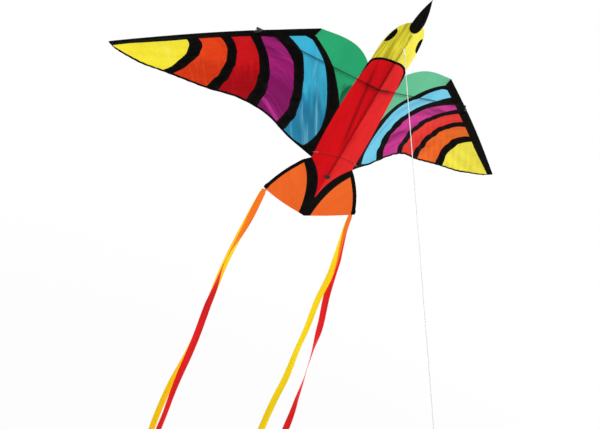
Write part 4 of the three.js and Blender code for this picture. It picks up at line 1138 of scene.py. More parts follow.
def kite_finishes() -> list[Finish]:
    """Every finish of the kite."""
    spar, seam = SparShade(), SeamShade()
    return [
        RipstopCloth(
            "sail_yellow", "cloth_yellow", (248, 232, 54), (226, 202, 34), (255, 244, 90), 0.3,
            bright=(255, 246, 120), glint=0.3,
        ),
        RipstopCloth(
            "sail_orange", "cloth_orange", (230, 56, 24), (186, 42, 18), (250, 124, 44), 0.4,
            bright=(248, 96, 42), dusk=0.5, glint=0.4,
        ),
        RipstopCloth(
            "sail_red", "cloth_red", (200, 8, 22), (136, 6, 16), (246, 70, 60), 0.4,
            bright=(226, 22, 28), dusk=0.6, glint=0.4,
        ),
        RipstopCloth(
            "sail_purple", "cloth_purple", (160, 28, 114), (112, 20, 84), (226, 66, 158),
            0.7, (22.0, 3.4), -52.0, spar, bright=(204, 60, 160), dusk=0.7, glint=0.7,
        ),
        RipstopCloth(
            "sail_blue", "cloth_blue", (44, 178, 214), (36, 116, 156), (142, 222, 246),
            0.45, (15.0, 3.4), -27.0, spar, bright=(138, 216, 238), dusk=0.8, glint=0.7,
        ),
        RipstopCloth(
            "sail_green", "cloth_green", (16, 166, 106), (18, 74, 50), (126, 204, 166),
            0.14, (14.0, 4.0), 10.0, spar, bright=(60, 180, 130), dusk=0.85, glint=0.2,
        ),
        RipstopCloth(
            "belly_red", "cloth_red", (226, 10, 22), (166, 8, 18), (250, 56, 54),
            0.45, (17.0, 4.0), 4.0, spar, seam, translucency=0.34,
        ),
        RipstopCloth(
            "head_yellow", "cloth_yellow", (250, 236, 66), (176, 162, 34), (255, 244, 98),
            0.3, (20.0, 8.0), 6.0, None, seam, bright=(252, 240, 80), dusk=0.9, translucency=0.36,
        ),
        RipstopCloth("tail_orange", "cloth_orange", (233, 92, 36), (222, 82, 28), (244, 112, 44), 0.3),
        BlackBinding("black_trim", "cloth_black"),
        BlackBinding("black_sleeve", "cloth_black", (0.84,), 0.022),
        BlackBinding("black_patch", "cloth_black", (0.08, 0.92), 0.02),
        BlackBinding("black_piping", "cloth_black", ()),
        BlackBinding("black_tunnel", "cloth_black", (0.02, 0.98), 0.02),
        SatinRibbon("streamer_yellow", "ribbon_yellow", (255, 222, 22), (255, 204, 16), (250, 136, 34)),
        SatinRibbon("streamer_red", "ribbon_red", (240, 36, 38), (170, 20, 28), (250, 132, 34)),
        DrawnFibre("dark_rod", "black_fibre", (26, 26, 28), (58, 57, 56)),
        DrawnFibre("pale_rod", "pale_fibre", (170, 116, 108), (206, 168, 158), 0.4, 0.068),
        MouldedPlastic("black_moulding", "moulded_black", (20, 20, 20), (46, 45, 44)),
        MouldedPlastic("black_vinyl", "vinyl_tube", (16, 16, 17), (34, 34, 36), 0.34, 300.0),
        BraidedCord("white_braid", "braid"),
    ]


@dataclass
class Workshop:
    """The sail's form and the finished materials, which every assembly of the kite shares."""

    form: SailForm = field(default_factory=SailForm)
    slots: dict[str, str] = field(default_factory=dict)

    def stock(self) -> None:
        """Make every material, and note the slot that it fills."""
        for finish in kite_finishes():
            finish.make(self.form)
            self.slots[finish.name] = finish.slot

    def dress_node(self, node: str, finish: str) -> None:
        """Give a node that keeps its plain form a finish."""
        for holder in bpy.data.objects[node].material_slots:
            holder.material = bpy.data.materials[finish]
        log.info("%s keeps its form and gets %s", node, finish)


@dataclass
class Assembly:
    """A part of the kite that is built of pieces; the middle one rides on the airframe."""

    shop: Workshop

    @property
    def form(self) -> SailForm:
        """The sail."""
        return self.shop.form

    def add(
        self, name: str, node: str, finish: str, *patches: Patch, body: str = "airframe",
        side: Side = Side.RIGHT, wall: float = 0.0, marks: Optional[dict[str, Array]] = None,
    ) -> bpy.types.Object:
        """Make a piece that stands for its plain node.

        Args:
            name: the piece's name.
            node: the node that it stands for.
            finish: its material's name.
            patches: its grids.
            body: the body that it rides on; empty where it is attached to none.
            side: the left side mirrors it.
            wall: thickness that is added to it, in metres.
            marks: named values, one for each point.

        Returns:
            The finished object.
        """
        piece = make_piece(name, patches, bpy.data.materials[finish], side, wall, marks)
        if body:
            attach(piece, body)
        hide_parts(node)
        log.info("%s stands for %s: %d faces", name, node, len(piece.data.polygons))
        return piece


@dataclass
class Half(Assembly):
    """An assembly of one wing's body, made for the right and mirrored for the left."""

    side: Side

    def sew(self, name: str, node: str, finish: str, *patches: Patch, **more: Any) -> bpy.types.Object:
        """Make a piece of this half, whose name and node end with the side's word."""
        word = self.side.word
        names = (f"{name}_{word}", f"{node}_{word}", finish)
        return self.add(*names, *patches, body=self.side.body, side=self.side, **more)

    def marks(self, patch: Patch, foot: Any = None) -> dict[str, Array]:
        """How little light falls on a cloth's back, and how near each point is to its foot.

        Args:
            patch: the cloth's grid.
            foot: nearness to its foot, where painted shade gathers.

        Returns:
            The marks by name; no light falls on the back of the left half.
        """
        shape = patch.points.shape[:2]
        found = {"shaded": np.full(shape, 0.85 if self.side is Side.LEFT else 0.0)}
        return found if foot is None else {"foot": np.broadcast_to(foot, shape), **found}

    def stretch(self, piece: bpy.types.Object, patch: Patch, trim: Sequence[bpy.types.Object] = ()) -> None:
        """Work out the rectangle that a stretched piece was cut from, and its area; neither is kept."""
        flat, area = patch.cut_size()


@dataclass
class Wing(Half):
    """One wing: six panels, black trim, the sleeved leading edge and the pocket at its tip."""

    plan: SeamPlan
    rows: int = 64  # of a panel's grid
    columns: int = 26
    crown: float = 2.2  # how far a panel crowns between its seams
    trim_wall: float = 0.0009  # thickness of the bands and the hem, in metres
    lap: float = 2.5  # how far a band lies over the panels on both sides
    hem_lap: float = 3.0  # how far the hem lies over them
    root_lap: float = 9.0  # how much further it does so beside the body
    opening: float = 12.8  # half the gap between the sleeves
    nose: int = 17  # points round the nose of a sleeve

    def between(
        self, outer: Seam, inner: Seam, rows: int, columns: int, lap: float = 0.0
    ) -> tuple[Array, Array]:
        """Stations and shares of a grid between two seams.

        Args:
            outer: the seam nearer the tip.
            inner: the seam nearer the body.
            rows: steps from sleeve to hem.
            columns: steps from inner to outer seam.
            lap: how far the grid reaches over its seams.

        Returns:
            Stations and shares f, rows by columns.
        """
        f = steps(rows) ** 1.2
        low, high = (self.form.seam_stations(seam, f)[:, None] for seam in (inner, outer))
        over = lap / self.form.reach
        s = lerp(low - over, high + over, steps(columns))
        return np.clip(s, 0.0, 1.0), np.broadcast_to(f[:, None], s.shape)

    def sail_patch(self, points: Array, s: Array, share: Array) -> Patch:
        """A panel with metres out and metres down the chord as cloth coordinates."""
        return Patch(flown(points), MM * pair(s * self.form.reach, share * self.form.chord(s)[0]))

    def panel_patch(self, dye: Dye) -> Patch:
        """A panel that crowns a little between its seams, behind the spreader only.

        Args:
            dye: which panel; the green one lies in the corner beside the body.

        Returns:
            Its grid.
        """
        if dye is Dye.GREEN:
            v = steps(46)[:, None] * (self.plan.green_reach - 0.006)
            s = steps(30) * self.plan.flank(v)
            return self.sail_patch(self.form.point(s, v), s, v)
        s, f = self.between(*self.plan.panel(dye), self.rows, self.columns)
        points = self.form.point(s, self.form.between_hems(s, f))
        rise = np.sin(math.pi * steps(self.columns)) * np.sin(math.pi * f) ** 0.6
        behind = smoothstep(-points[..., 2], 190.0, 250.0)
        return self.sail_patch(points + xyz(0.0, self.crown * rise * behind, 0.0), s, f)

    def foot(self, dye: Dye, patch: Patch) -> Array:
        """How near each point is to its panel's foot, where shade gathers.

        Args:
            dye: which panel; the green one is in shade where band and flank meet.
            patch: its grid.

        Returns:
            One value for each point.
        """
        rows, columns = patch.points.shape[:2]
        down = steps(rows - 1)[:, None]
        if dye is Dye.GREEN:
            down = smoothstep(down, 0.15, 0.85) * (1.0 - 0.75 * steps(columns - 1))
        return down * (1.0 if self.side is Side.LEFT else 0.3)

    def trim_patches(self) -> list[Patch]:
        """The bands, each a strip between its seams, and the hem along the trailing edge."""
        patches = []
        for outer, inner in self.plan.bands():
            s, f = self.between(outer, inner, 90, 6, self.lap)
            patches.append(strip_patch(self.form.point(s, self.form.between_hems(s, f))))
        s = (steps(200) * self.plan.tip_station)[:, None]
        lap = self.hem_lap + self.root_lap * (1.0 - smoothstep(s, 0.0, 0.1))
        v = lerp(self.form.hem_edge(s, lap), 1.0, steps(5))
        return [*patches, strip_patch(self.form.point(s, v))]

    def edge_axes(self, s: Array) -> tuple[Array, Array, Array]:
        """The leading edge and the axes of its sleeve's section.

        Args:
            s: stations.

        Returns:
            Points of the edge, the way into the sail, and the way to its back.
        """
        front = self.form.leading_edge(s)
        start = np.maximum(s - 0.004, self.form.shoulder_station)
        along = unit(self.form.leading_edge(start + 0.008) - self.form.leading_edge(start))
        into = self.form.point(s, self.form.sleeve_edge(s)) - front
        into = into / self.form.sleeve_reach(s)[..., None]
        back = unit(np.cross(along, into))
        return front, into, back * np.where(back[:, 1:2] < 0, -1.0, 1.0)

    @cached_property
    def mouth(self) -> float:
        """Half the gap between the sleeves, as a share of the stations."""
        start = self.form.shoulder_station
        first, last = self.form.leading_edge(np.array([start, 1.0]))
        return self.opening / (float(np.linalg.norm(last - first)) / (1.0 - start))

    def edge_sleeve(self, stations: Array) -> Patch:
        """The leading edge's sleeve at a row of stations."""
        width = self.form.sleeve_reach(stations)
        section = teardrop(self.form.rod_radius + SLEEVE_WALL, width, self.nose, 8)
        axes = self.edge_axes(stations)
        return sleeve_patch(axes, section, self.nose, self.form.rod_radius, section[0] / width[:, None])

    def facing_patch(self) -> Patch:
        """The flat cloth that joins the two sleeves behind the connector's opening."""
        middle, reach = self.form.side_station, 1.04 * self.mouth
        axes = self.edge_axes(np.linspace(middle - reach, middle + reach, 9))
        u = lerp(0.2, 1.01, steps(6)) * self.form.sleeve_width
        return strip_patch(lay(*axes, u, 0.0 * u))

    def pocket_patch(self) -> Patch:
        """The tip pocket: the sleeve's section, lessening in a quarter ellipse to a blunt end."""
        t = steps(10)
        s = lerp(self.plan.tip_station + 0.6 / self.form.reach, 1.0, t)
        front = self.form.leading_edge(s)
        run = self.form.trailing_edge(s) - front
        back = self.edge_axes(np.array([self.plan.tip_station]))[2]
        full = np.sqrt(1.0 - (0.9 * t) ** 2)
        width = 0.94 * np.linalg.norm(run, axis=-1) * full
        section = teardrop((self.form.rod_radius + SLEEVE_WALL) * full, width, self.nose, 6)
        cloth = pair(MM * run_length(front)[:, None], section[0] / width[:, None])
        return Patch(flown(lay(front, unit(run), back, *section)), cloth, True, True)

    def build(self) -> None:
        """Make and place every piece of the wing."""
        trim = self.sew("trim", "wing_trim", "black_trim", *self.trim_patches(), wall=self.trim_wall)
        for dye in Dye:
            name, patch = f"sail_{dye.value}", self.panel_patch(dye)
            marks = self.marks(patch, self.foot(dye, patch))
            panel = self.sew(name, f"panel_{dye.value}", name, patch, marks=marks)
            self.stretch(panel, patch, [trim] if dye is Dye.YELLOW else ())
        first, last = self.form.shoulder_station, self.plan.tip_station
        side, gap = self.form.side_station, 0.4 / self.form.reach
        inner = self.edge_sleeve(np.linspace(first + gap, side - self.mouth, 40))
        self.sew("sleeve_inner", "edge_sleeve_inner", "black_sleeve", inner, self.facing_patch())
        outer = self.edge_sleeve(np.linspace(side + self.mouth, last, 90))
        self.sew("sleeve_outer", "edge_sleeve_outer", "black_sleeve", outer)
        self.sew("pocket", "tip_pocket", "black_sleeve", self.pocket_patch())
        front, into, _ = self.edge_axes(np.linspace(first + 0.006, last - 0.006, 90))
        rod = tube_patch(front + into * (self.form.rod_radius + SLEEVE_WALL), self.form.rod_radius)
        self.sew("leading_rod", "edge_rod", "dark_rod", rod)
        start, end = self.form.spreader_ends
        along = unit(end - start)
        line = lerp(start + along * (14.0 / along[0]), end - along * 3.5, steps(12)[:, None])
        self.sew("spreader", "spreader_rod", "dark_rod", tube_patch(line, self.form.spreader_radius))
        self.shop.dress_node(f"edge_connector_{self.side.word}", "black_moulding")


@dataclass
class Body(Half):
    """Belly, head, eyes, beak and collar of one half, all crowned away from the seam."""

    batten_z: float = -399.0  # height of the batten across the rump
    vee_z: float = -558.0  # height of the point of the tail's vee
    collar_z: float = -55.0  # height of the collar on the seam
    collar_width: float = 6.0
    collar_tail: float = 0.13  # how far its thin end runs down the flank, as a share of it
    head_top: float = 85.0  # height of the crown
    head_depth: float = 22.0  # how far the head's sides curve back
    squareness: float = 3.5  # power of the head's outline; 2 is an ellipse
    eye_z: float = 19.0  # height of the eyes
    eye_half: float = 25.0  # half their length
    eye_width: float = 15.0
    beak_base: float = 52.0  # height of the beak's round base
    beak_wide: float = 80.0  # height where it is widest
    beak_tip: float = 166.0  # height of its tip
    beak_half: float = 21.0  # half its width
    beak_fullness: float = 4.5  # how far its middle stands off the head
    patch_wall: float = 0.0006  # thickness of the black patches, in metres

    @property
    def head_half(self) -> float:
        """Half the head's width."""
        return self.form.neck[0] - 1.0

    @property
    def head_base(self) -> float:
        """Height of the head's lower corners."""
        return self.form.neck[2] + self.collar_width

    def vee_inner(self, t: Array) -> Array:
        """The edge between belly and tail, from the rump to the point of the vee."""
        point = np.array([1.6, float(self.form.seam_back(self.vee_z)), self.vee_z])
        return bezier_point(np.array(self.form.rump), np.array([12.0, 26.0, -480.0]), point, t)

    def belly_back(self, x: Array, z: Array, edge: Array) -> Array:
        """How far back the belly lies: straight to its edge, rounder near the batten."""
        rounding = np.exp(-(((z - self.batten_z) / 90.0) ** 2))
        share = np.clip(x / edge[..., 0], 0.0, 1.0) ** (1.0 + rounding)
        return lerp(self.form.seam_back(z), edge[..., 1], share)

    def belly_rows(self, seam_z: Array, edge: Array, arch: Array) -> Array:
        """Rows from seam to edge that follow the collar's arch where arch is near 1.

        Args:
            seam_z: height of each row on the seam.
            edge: each row's outer end.
            arch: share of the collar's arch in each row.

        Returns:
            Rows by columns of points.
        """
        w, edge = steps(26), edge[:, None]
        z = lerp(seam_z[:, None], edge[..., 2], lerp(w, drop(w), arch[:, None]))
        x = edge[..., 0] * w
        return xyz(x, self.belly_back(x, z, edge), z)

    def belly_patch(self) -> Patch:
        """The belly half, from the arched collar down the flank to the point of the vee."""
        rump_seam = self.form.rump[2] + 20.0
        t, u = steps(70), steps(30)[1:]
        arch = np.exp(-8.0 * t)
        edge = self.form.point(0.0, t) + xyz(0.0, 0.0, -0.8 * arch)
        body = self.belly_rows(lerp(self.collar_z - 0.4, rump_seam, t), edge, arch)
        vee = self.belly_rows(lerp(rump_seam, self.vee_z + 1.0, u), self.vee_inner(u), 0.0 * u)
        return panel_patch(np.concatenate([body, vee]))

    def collar_points(self, w: Array, lift: Any) -> Array:
        """The collar's arch: a quarter ellipse from the seam down to the flank."""
        z = lerp(self.collar_z, self.form.neck[2], drop(w)) + lift
        return xyz(self.head_half * w, lerp(self.form.seam_back(z), self.form.neck[1], w), z)

    def head_share(self, z: Array) -> Array:
        """How far up the head a height is, from 0 to 1."""
        return np.clip((z - self.head_base) / (self.head_top - self.head_base), 0.0, 1.0)

    def half_width(self, z: Array) -> Array:
        """Half the head's width at a height, from the squared-off ellipse."""
        rest = 1.0 - self.head_share(z) ** self.squareness
        return self.head_half * np.sqrt(np.maximum(rest, 0.0009))

    def on_head(self, x: Array, z: Array, lift: Any = 0.0) -> Array:
        """Points on the head's cloth, a shallow dome that dies out towards the crown.

        Args:
            x: distances out.
            z: heights.
            lift: how far in front of the cloth.

        Returns:
            Points in the kite frame.
        """
        share = np.minimum(x / self.half_width(z), 1.0)
        dome = self.head_depth * (1.0 - self.head_share(z) ** 3) * share**1.3
        seam = self.form.seam_back(z)
        turn = smoothstep(z, self.collar_z - 30.0, self.collar_z + 40.0)
        return xyz(x, lerp(lerp(seam, self.form.neck[1], x / self.head_half), seam + dome, turn) - lift, z)

    def head_patch(self) -> Patch:
        """The head half in upright columns from the collar's arch to the crown."""
        base = self.collar_points(np.sin(steps(34) * math.pi / 2.0) * 0.9999, self.collar_width)
        x, low = base[:, 0], base[:, 2]
        rest = np.maximum(1.0 - (x / self.head_half) ** 2, 0.0) ** (1.0 / self.squareness)
        crown = lerp(self.head_base, self.head_top, rest)
        return panel_patch(self.on_head(x, lerp(low, np.maximum(crown, low), steps(44)[:, None])))

    def eye_patch(self) -> Patch:
        """The eye: a half ellipse whose straight side follows the head's outline."""
        angle = math.pi * lerp(0.02, 0.98, steps(30))[:, None]
        z = self.eye_z - self.eye_half * np.cos(angle)
        outer = self.half_width(z) - 1.5
        inner = outer - self.eye_width * np.sin(angle)
        return strip_patch(self.on_head(lerp(inner, outer, steps(8)), z, 0.9))

    def beak_patch(self) -> Patch:
        """The beak half: a blunt round base, a padded middle, a drawn-out tip, flat on the seam."""
        base = lerp(self.beak_wide, self.beak_base, np.cos(steps(14) * math.pi / 2.0))
        z = np.concatenate([base, lerp(self.beak_wide, self.beak_tip, steps(26)[1:])])[:, None]
        low = (self.beak_wide - z) / (self.beak_wide - self.beak_base)
        high = (z - self.beak_wide) / (self.beak_tip - self.beak_wide)
        round_base = np.maximum(1.0 - np.maximum(low, 0.0) ** 2.5, 0.0) ** (1.0 / 2.5)
        drawn = 1.0 - np.clip(high, 0.0, 1.0) ** 1.7
        half = np.maximum(self.beak_half * np.where(z < self.beak_wide, round_base, drawn), 1.2)
        c = steps(12)
        fullness = self.beak_fullness * half / self.beak_half * np.sin(math.pi * c)
        return strip_patch(self.on_head(half * c, z, 0.9 + fullness))

    def collar_patch(self) -> Patch:
        """The collar: a rolled strip along the arch, that thins out down the flank."""
        arch = self.collar_points(np.sin(steps(50) * math.pi / 2.0), 0.5 * self.collar_width)
        path = np.concatenate([arch, self.form.point(0.0, steps(16)[1:] * self.collar_tail)])
        along = unit(np.gradient(path, axis=0) * np.array([1.0, 0.0, 1.0]))
        run = run_length(path)
        half = lerp(3.8, 0.7, smoothstep(run, run[50] - 14.0, run[-1]))[:, None]
        roll = 0.9 + 0.24 * half * np.sin(math.pi * steps(8))
        axes = path, xyz(-along[:, 2], 0.0, along[:, 0]), np.array([[0.0, 1.0, 0.0]])
        return strip_patch(lay(*axes, lerp(-1.0, 1.0, steps(8)) * half, -roll))

    def build(self) -> None:
        """Make and place the cloth of this half of the body."""
        patch = self.belly_patch()
        self.stretch(self.sew("belly", "belly_panel", "belly_red", patch, marks=self.marks(patch)), patch)
        patch = self.head_patch()
        # painted shade over the left half of the head
        marks = self.marks(patch, 0.63 if self.side is Side.LEFT else None)
        self.stretch(self.sew("head", "head_panel", "head_yellow", patch, marks=marks), patch)
        self.sew("eye", "eye_patch", "black_patch", self.eye_patch(), wall=self.patch_wall)
        self.sew("beak", "beak_half", "black_patch", self.beak_patch(), wall=self.patch_wall)
        self.sew("neck_piping", "collar", "black_piping", self.collar_patch(), wall=self.patch_wall)


@dataclass
class TailFan(Half):
    """One half of the tail: the black vee stripe, the orange panel and its sleeved edge."""

    body: Body
    start: Array = field(default_factory=lambda: np.array([98.5, 39.0, -452.0]))  # beside the wing
    corner: Array = field(default_factory=lambda: np.array([176.0, 39.0, -578.0]))  # at its outer end
    bend: Array = field(default_factory=lambda: np.array([32.0, 33.0, -510.0]))  # draws the stripe in
    tip_z: float = -630.0  # height of the vee's foot
    stripe_share: float = 0.7  # of the stripe that lies beside the belly
    edge_bow: float = 7.0  # how far the edge bows out
    edge_width: float = 13.0  # width of its sleeve
    rod_radius: float = 1.5
    nose: int = 13  # points round the nose of the sleeve

    @cached_property
    def inwards(self) -> Array:
        """The direction from the edge into the fan."""
        along = unit(self.corner - self.start)
        return np.array([along[2], 0.0, -along[0]])

    def vee_outer(self, t: Array) -> Array:
        """The stripe's outer edge, from the tail's start to the foot of the vee."""
        foot = np.array([22.0, float(self.form.seam_back(self.tip_z)) + 2.0, self.tip_z + 5.0])
        return bezier_point(self.start, self.bend, foot, t)

    def stripe_patch(self) -> Patch:
        """The stripe between belly and orange cloth, then along the seam to the foot."""
        t, turn = steps(60), self.stripe_share
        z = lerp(self.body.vee_z + 1.0, self.tip_z, (t - turn) / (1.0 - turn))
        upper = self.body.vee_inner(np.minimum(t / turn, 1.0))
        inner = np.where((t < turn)[:, None], upper, xyz(0.0, self.form.seam_back(z), z))
        return strip_patch(lerp(inner[:, None], self.vee_outer(t)[:, None], steps(8)[:, None]))

    def edge_at(self, t: Array) -> Array:
        """The fan's outer edge: a straight line with a sine of bow."""
        t = np.asarray(t, float)[..., None]
        return lerp(self.start, self.corner, t) - self.inwards * self.edge_bow * np.sin(math.pi * t)

    def inwards_at(self, t: Array) -> Array:
        """The sleeve's way inwards: along the stripe at first, then square to the edge."""
        along_stripe = unit((self.bend - self.start) * np.array([1.0, 0.0, 1.0]))
        return unit(lerp(along_stripe, self.inwards, smoothstep(t, 0.0, 0.25)[..., None]))

    def cloth_patch(self) -> Patch:
        """The orange panel between stripe and sleeve, hollowed by the wind and curved at its foot."""
        t, c = steps(46), steps(30)
        edge = lerp(0.01, 1.0, t)
        outer = self.edge_at(edge) + self.inwards_at(edge) * (self.edge_width - 1.0)
        points = lerp(self.vee_outer(lerp(0.07, 1.0, t))[:, None], outer[:, None], c[:, None])
        sag, t = 5.0 * np.sin(math.pi * c), t[:, None]
        return panel_patch(points + xyz(0.0, t * sag, -(t**2) * sag))

    def edge_sleeve(self) -> Patch:
        """The edge's sleeve, folded wider at the corner, where its end is rounded off."""
        t = steps(60)
        u, w = teardrop(self.rod_radius + SLEEVE_WALL, self.edge_width, self.nose, 6)
        folded = smoothstep(t, 0.88, 0.93)[:, None]
        rounded = np.sqrt(1.0 - 0.55 * smoothstep(t, 0.955, 1.0))[:, None]
        middle = self.edge_width / 2.0
        section = middle + (u - middle) * (1.0 + 0.28 * folded) * rounded, w * (1.0 + 0.25 * folded)
        axes = self.edge_at(t), self.inwards_at(t), np.array([[0.0, 1.0, 0.0]])
        return sleeve_patch(axes, section, self.nose, self.rod_radius, u / self.edge_width)

    def build(self) -> None:
        """Make and place this half of the tail."""
        self.sew("vee_stripe", "tail_stripe", "black_patch", self.stripe_patch(), wall=self.body.patch_wall)
        patch = self.cloth_patch()
        self.stretch(self.sew("tail_cloth", "tail_panel", "tail_orange", patch), patch)
        self.sew("tail_sleeve", "tail_edge_sleeve", "black_sleeve", self.edge_sleeve())
        t = lerp(0.05, 0.985, steps(30))
        path = self.edge_at(t) + self.inwards_at(t) * (self.rod_radius + SLEEVE_WALL)
        self.sew("tail_rod", "tail_edge_rod", "dark_rod", tube_patch(path, self.rod_radius, 14))


@dataclass
class Streamers(Half):
    """The two ribbons that hang from each corner of the tail.

    Each table row is the distance down, the offset outboard and the turn in degrees; a smooth
    curve runs through each column, with slopes from each row's neighbours.
    """

    tail: TailFan
    width: float = 22.0
    length: float = 950.0
    rise: float = 3.5  # how far their folded tops reach up under the corner
    neck_width: float = 17.0  # where they are gathered and sewn on
    neck_length: float = 12.0  # how soon they are full width
    spacing: float = 1.2  # between the two at the top
    spread: float = 17.0  # between them further down
    tables: dict[str, tuple[tuple[float, float, float], ...]] = field(default_factory=lambda: {
        "left_yellow": (
            (0, 0, 8), (80, 9, -12), (182, 20, 0), (218, 24, 4), (253, 27, 5), (289, 29, 4), (325, 29, 0),
            (396, 28, 6), (467, 28, 8), (539, 31, 8), (610, 39, 6), (681, 49, 4), (752, 54, 0),
            (824, 55, 1), (895, 51, 5), (950, 52, 10),
        ),
        "left_red": (
            (0, 0, 8), (80, 9, -10), (130, 16, 10), (182, 26, 38), (218, 34, 54), (253, 39, 64),
            (289, 39, 78), (325, 38, 96), (360, 38, 114), (396, 39, 130), (432, 38, 142), (503, 36, 150),
            (574, 37, 160), (645, 40, 175), (717, 41, 190), (788, 39, 195), (859, 39, 190), (950, 38, 185),
        ),
        "right_yellow": (
            (0, -8, 14), (48, -8, 14), (83, -6, 12), (119, -3, 4), (154, 0, -8), (190, 2, -12),
            (226, 1, -14), (261, -3, -10), (297, -6, -8), (333, -6, -6), (404, -4, 0), (475, -6, 4),
            (582, -6, -20), (653, -13, -28), (725, -17, -28), (832, -18, -25), (950, -19, -18),
        ),
        "right_red": (
            (0, -8, 14), (48, -4, 18), (83, 3, 16), (119, 10, 4), (154, 17, -10), (190, 21, -16),
            (226, 25, -20), (261, 29, -27), (297, 35, -27), (333, 43, -20), (368, 51, -14), (404, 57, -8),
            (440, 61, 20), (475, 64, 40), (546, 71, 58), (582, 75, 68), (618, 78, 80), (653, 80, 92),
            (689, 83, 108), (725, 84, 124), (760, 84, 138), (832, 82, 150), (950, 79, 138),
        ),
    })

    @property
    def down(self) -> Array:
        """The distance down of each row of a ribbon's grid."""
        return lerp(-self.rise, self.length, steps(260))

    @property
    def top(self) -> Array:
        """Where the ribbons start, in metres in the row frame, on this side."""
        inwards = self.tail.inwards
        end = flown(self.tail.edge_at(np.array(1.0)) + inwards * self.tail.edge_width / 2.0)
        drop_by = self.neck_width / 2.0 * abs(inwards[2] / inwards[0]) + 1.15
        return end * np.array([self.side.value, 1.0, 1.0]) - np.array([0.0, 0.0, drop_by * MM])

    def path(self, name: str) -> tuple[Array, Array]:
        """The smooth curves through the two columns of a ribbon's table.

        Args:
            name: which ribbon.

        Returns:
            Offsets in the row frame's X, and turns in radians, one for each row of the grid.
        """
        table = np.array(self.tables[name], float)
        at, values = table[:, 0], table[:, 1:]
        rows = np.arange(len(at))
        after, before = np.minimum(rows + 1, len(at) - 1), np.maximum(rows - 1, 0)
        slope = (values[after] - values[before]) / (at[after] - at[before])[:, None]
        k = np.clip(np.searchsorted(at, self.down, side="right") - 1, 0, len(at) - 2)
        gap = (at[k + 1] - at[k])[:, None]
        t = np.clip((self.down - at[k])[:, None] / gap, 0.0, 1.0)
        near, far = values[k] + slope[k] * gap / 3.0, values[k + 1] - slope[k + 1] * gap / 3.0
        out, turn = bezier4(values[k], near, far, values[k + 1], t).T
        return self.side.value * out, np.radians(turn)

    def ribbon_patch(self, name: str, ahead: int) -> Patch:
        """A ribbon as a strip that turns about its own length, slightly cupped.

        Args:
            name: which ribbon.
            ahead: -1 where it hangs in front of the other, 1 behind.

        Returns:
            Its grid in metres, with metres across and down as cloth coordinates.
        """
        down, (out, turn) = self.down, self.path(name)
        apart = lerp(self.spacing, self.spread, smoothstep(down, 0.0, 260.0)) / 2.0
        half = lerp(self.neck_width, self.width, smoothstep(down, 0.0, self.neck_length)) / 2.0
        c = lerp(-1.0, 1.0, steps(8))
        flutter = 0.8 * np.sin(down / 41.0 + ahead) * smoothstep(down, 40.0, 160.0)
        cup = flutter[:, None] * (1.0 - 2.0 * c**2)
        cos, sin = np.cos(turn), np.sin(turn)
        axes = xyz(out, ahead * apart, -down), xyz(cos, sin, 0.0), xyz(-sin, cos, 0.0)
        points = lay(*axes, c * half[:, None], cup)
        return Patch(self.top + MM * points, MM * pair((c + 1.0) * self.width / 2.0, down[:, None]))

    def neighbour(self, other: str, patch: Patch) -> Array:
        """How much each point of a ribbon has the other right behind it.

        Args:
            other: its neighbour.
            patch: this ribbon's grid.

        Returns:
            1 where the other lies behind, fading past its edges and as the two part.
        """
        out, turn = self.path(other)
        away = np.abs(patch.points[..., 0] / MM - (self.top[0] / MM + out)[:, None])
        away = away - (self.width / 2.0 * np.abs(np.cos(turn)))[:, None]
        return (1.0 - smoothstep(away, -1.0, 1.5)) * (1.0 - smoothstep(self.down, 190.0, 300.0)[:, None])

    def build(self) -> None:
        """Make and place both ribbons: the red one hangs in front on the left, the yellow on the right."""
        word = self.side.word
        front, rear = ("red", "yellow") if self.side is Side.LEFT else ("yellow", "red")
        for colour, ahead, other in ((front, -1, rear), (rear, 1, front)):
            name = f"{word}_{colour}"
            patch = self.ribbon_patch(name, ahead)
            # the front ribbon gets the painted colour of light through the other where that lies behind it
            cover = self.neighbour(f"{word}_{other}", patch) * (1.0 if colour == front else 0.0)
            names = (f"streamer_{name}", f"ribbon_{name}", f"streamer_{colour}")
            ribbon = self.add(*names, patch, body=f"ribbons_{word}", marks={"neighbour": cover})


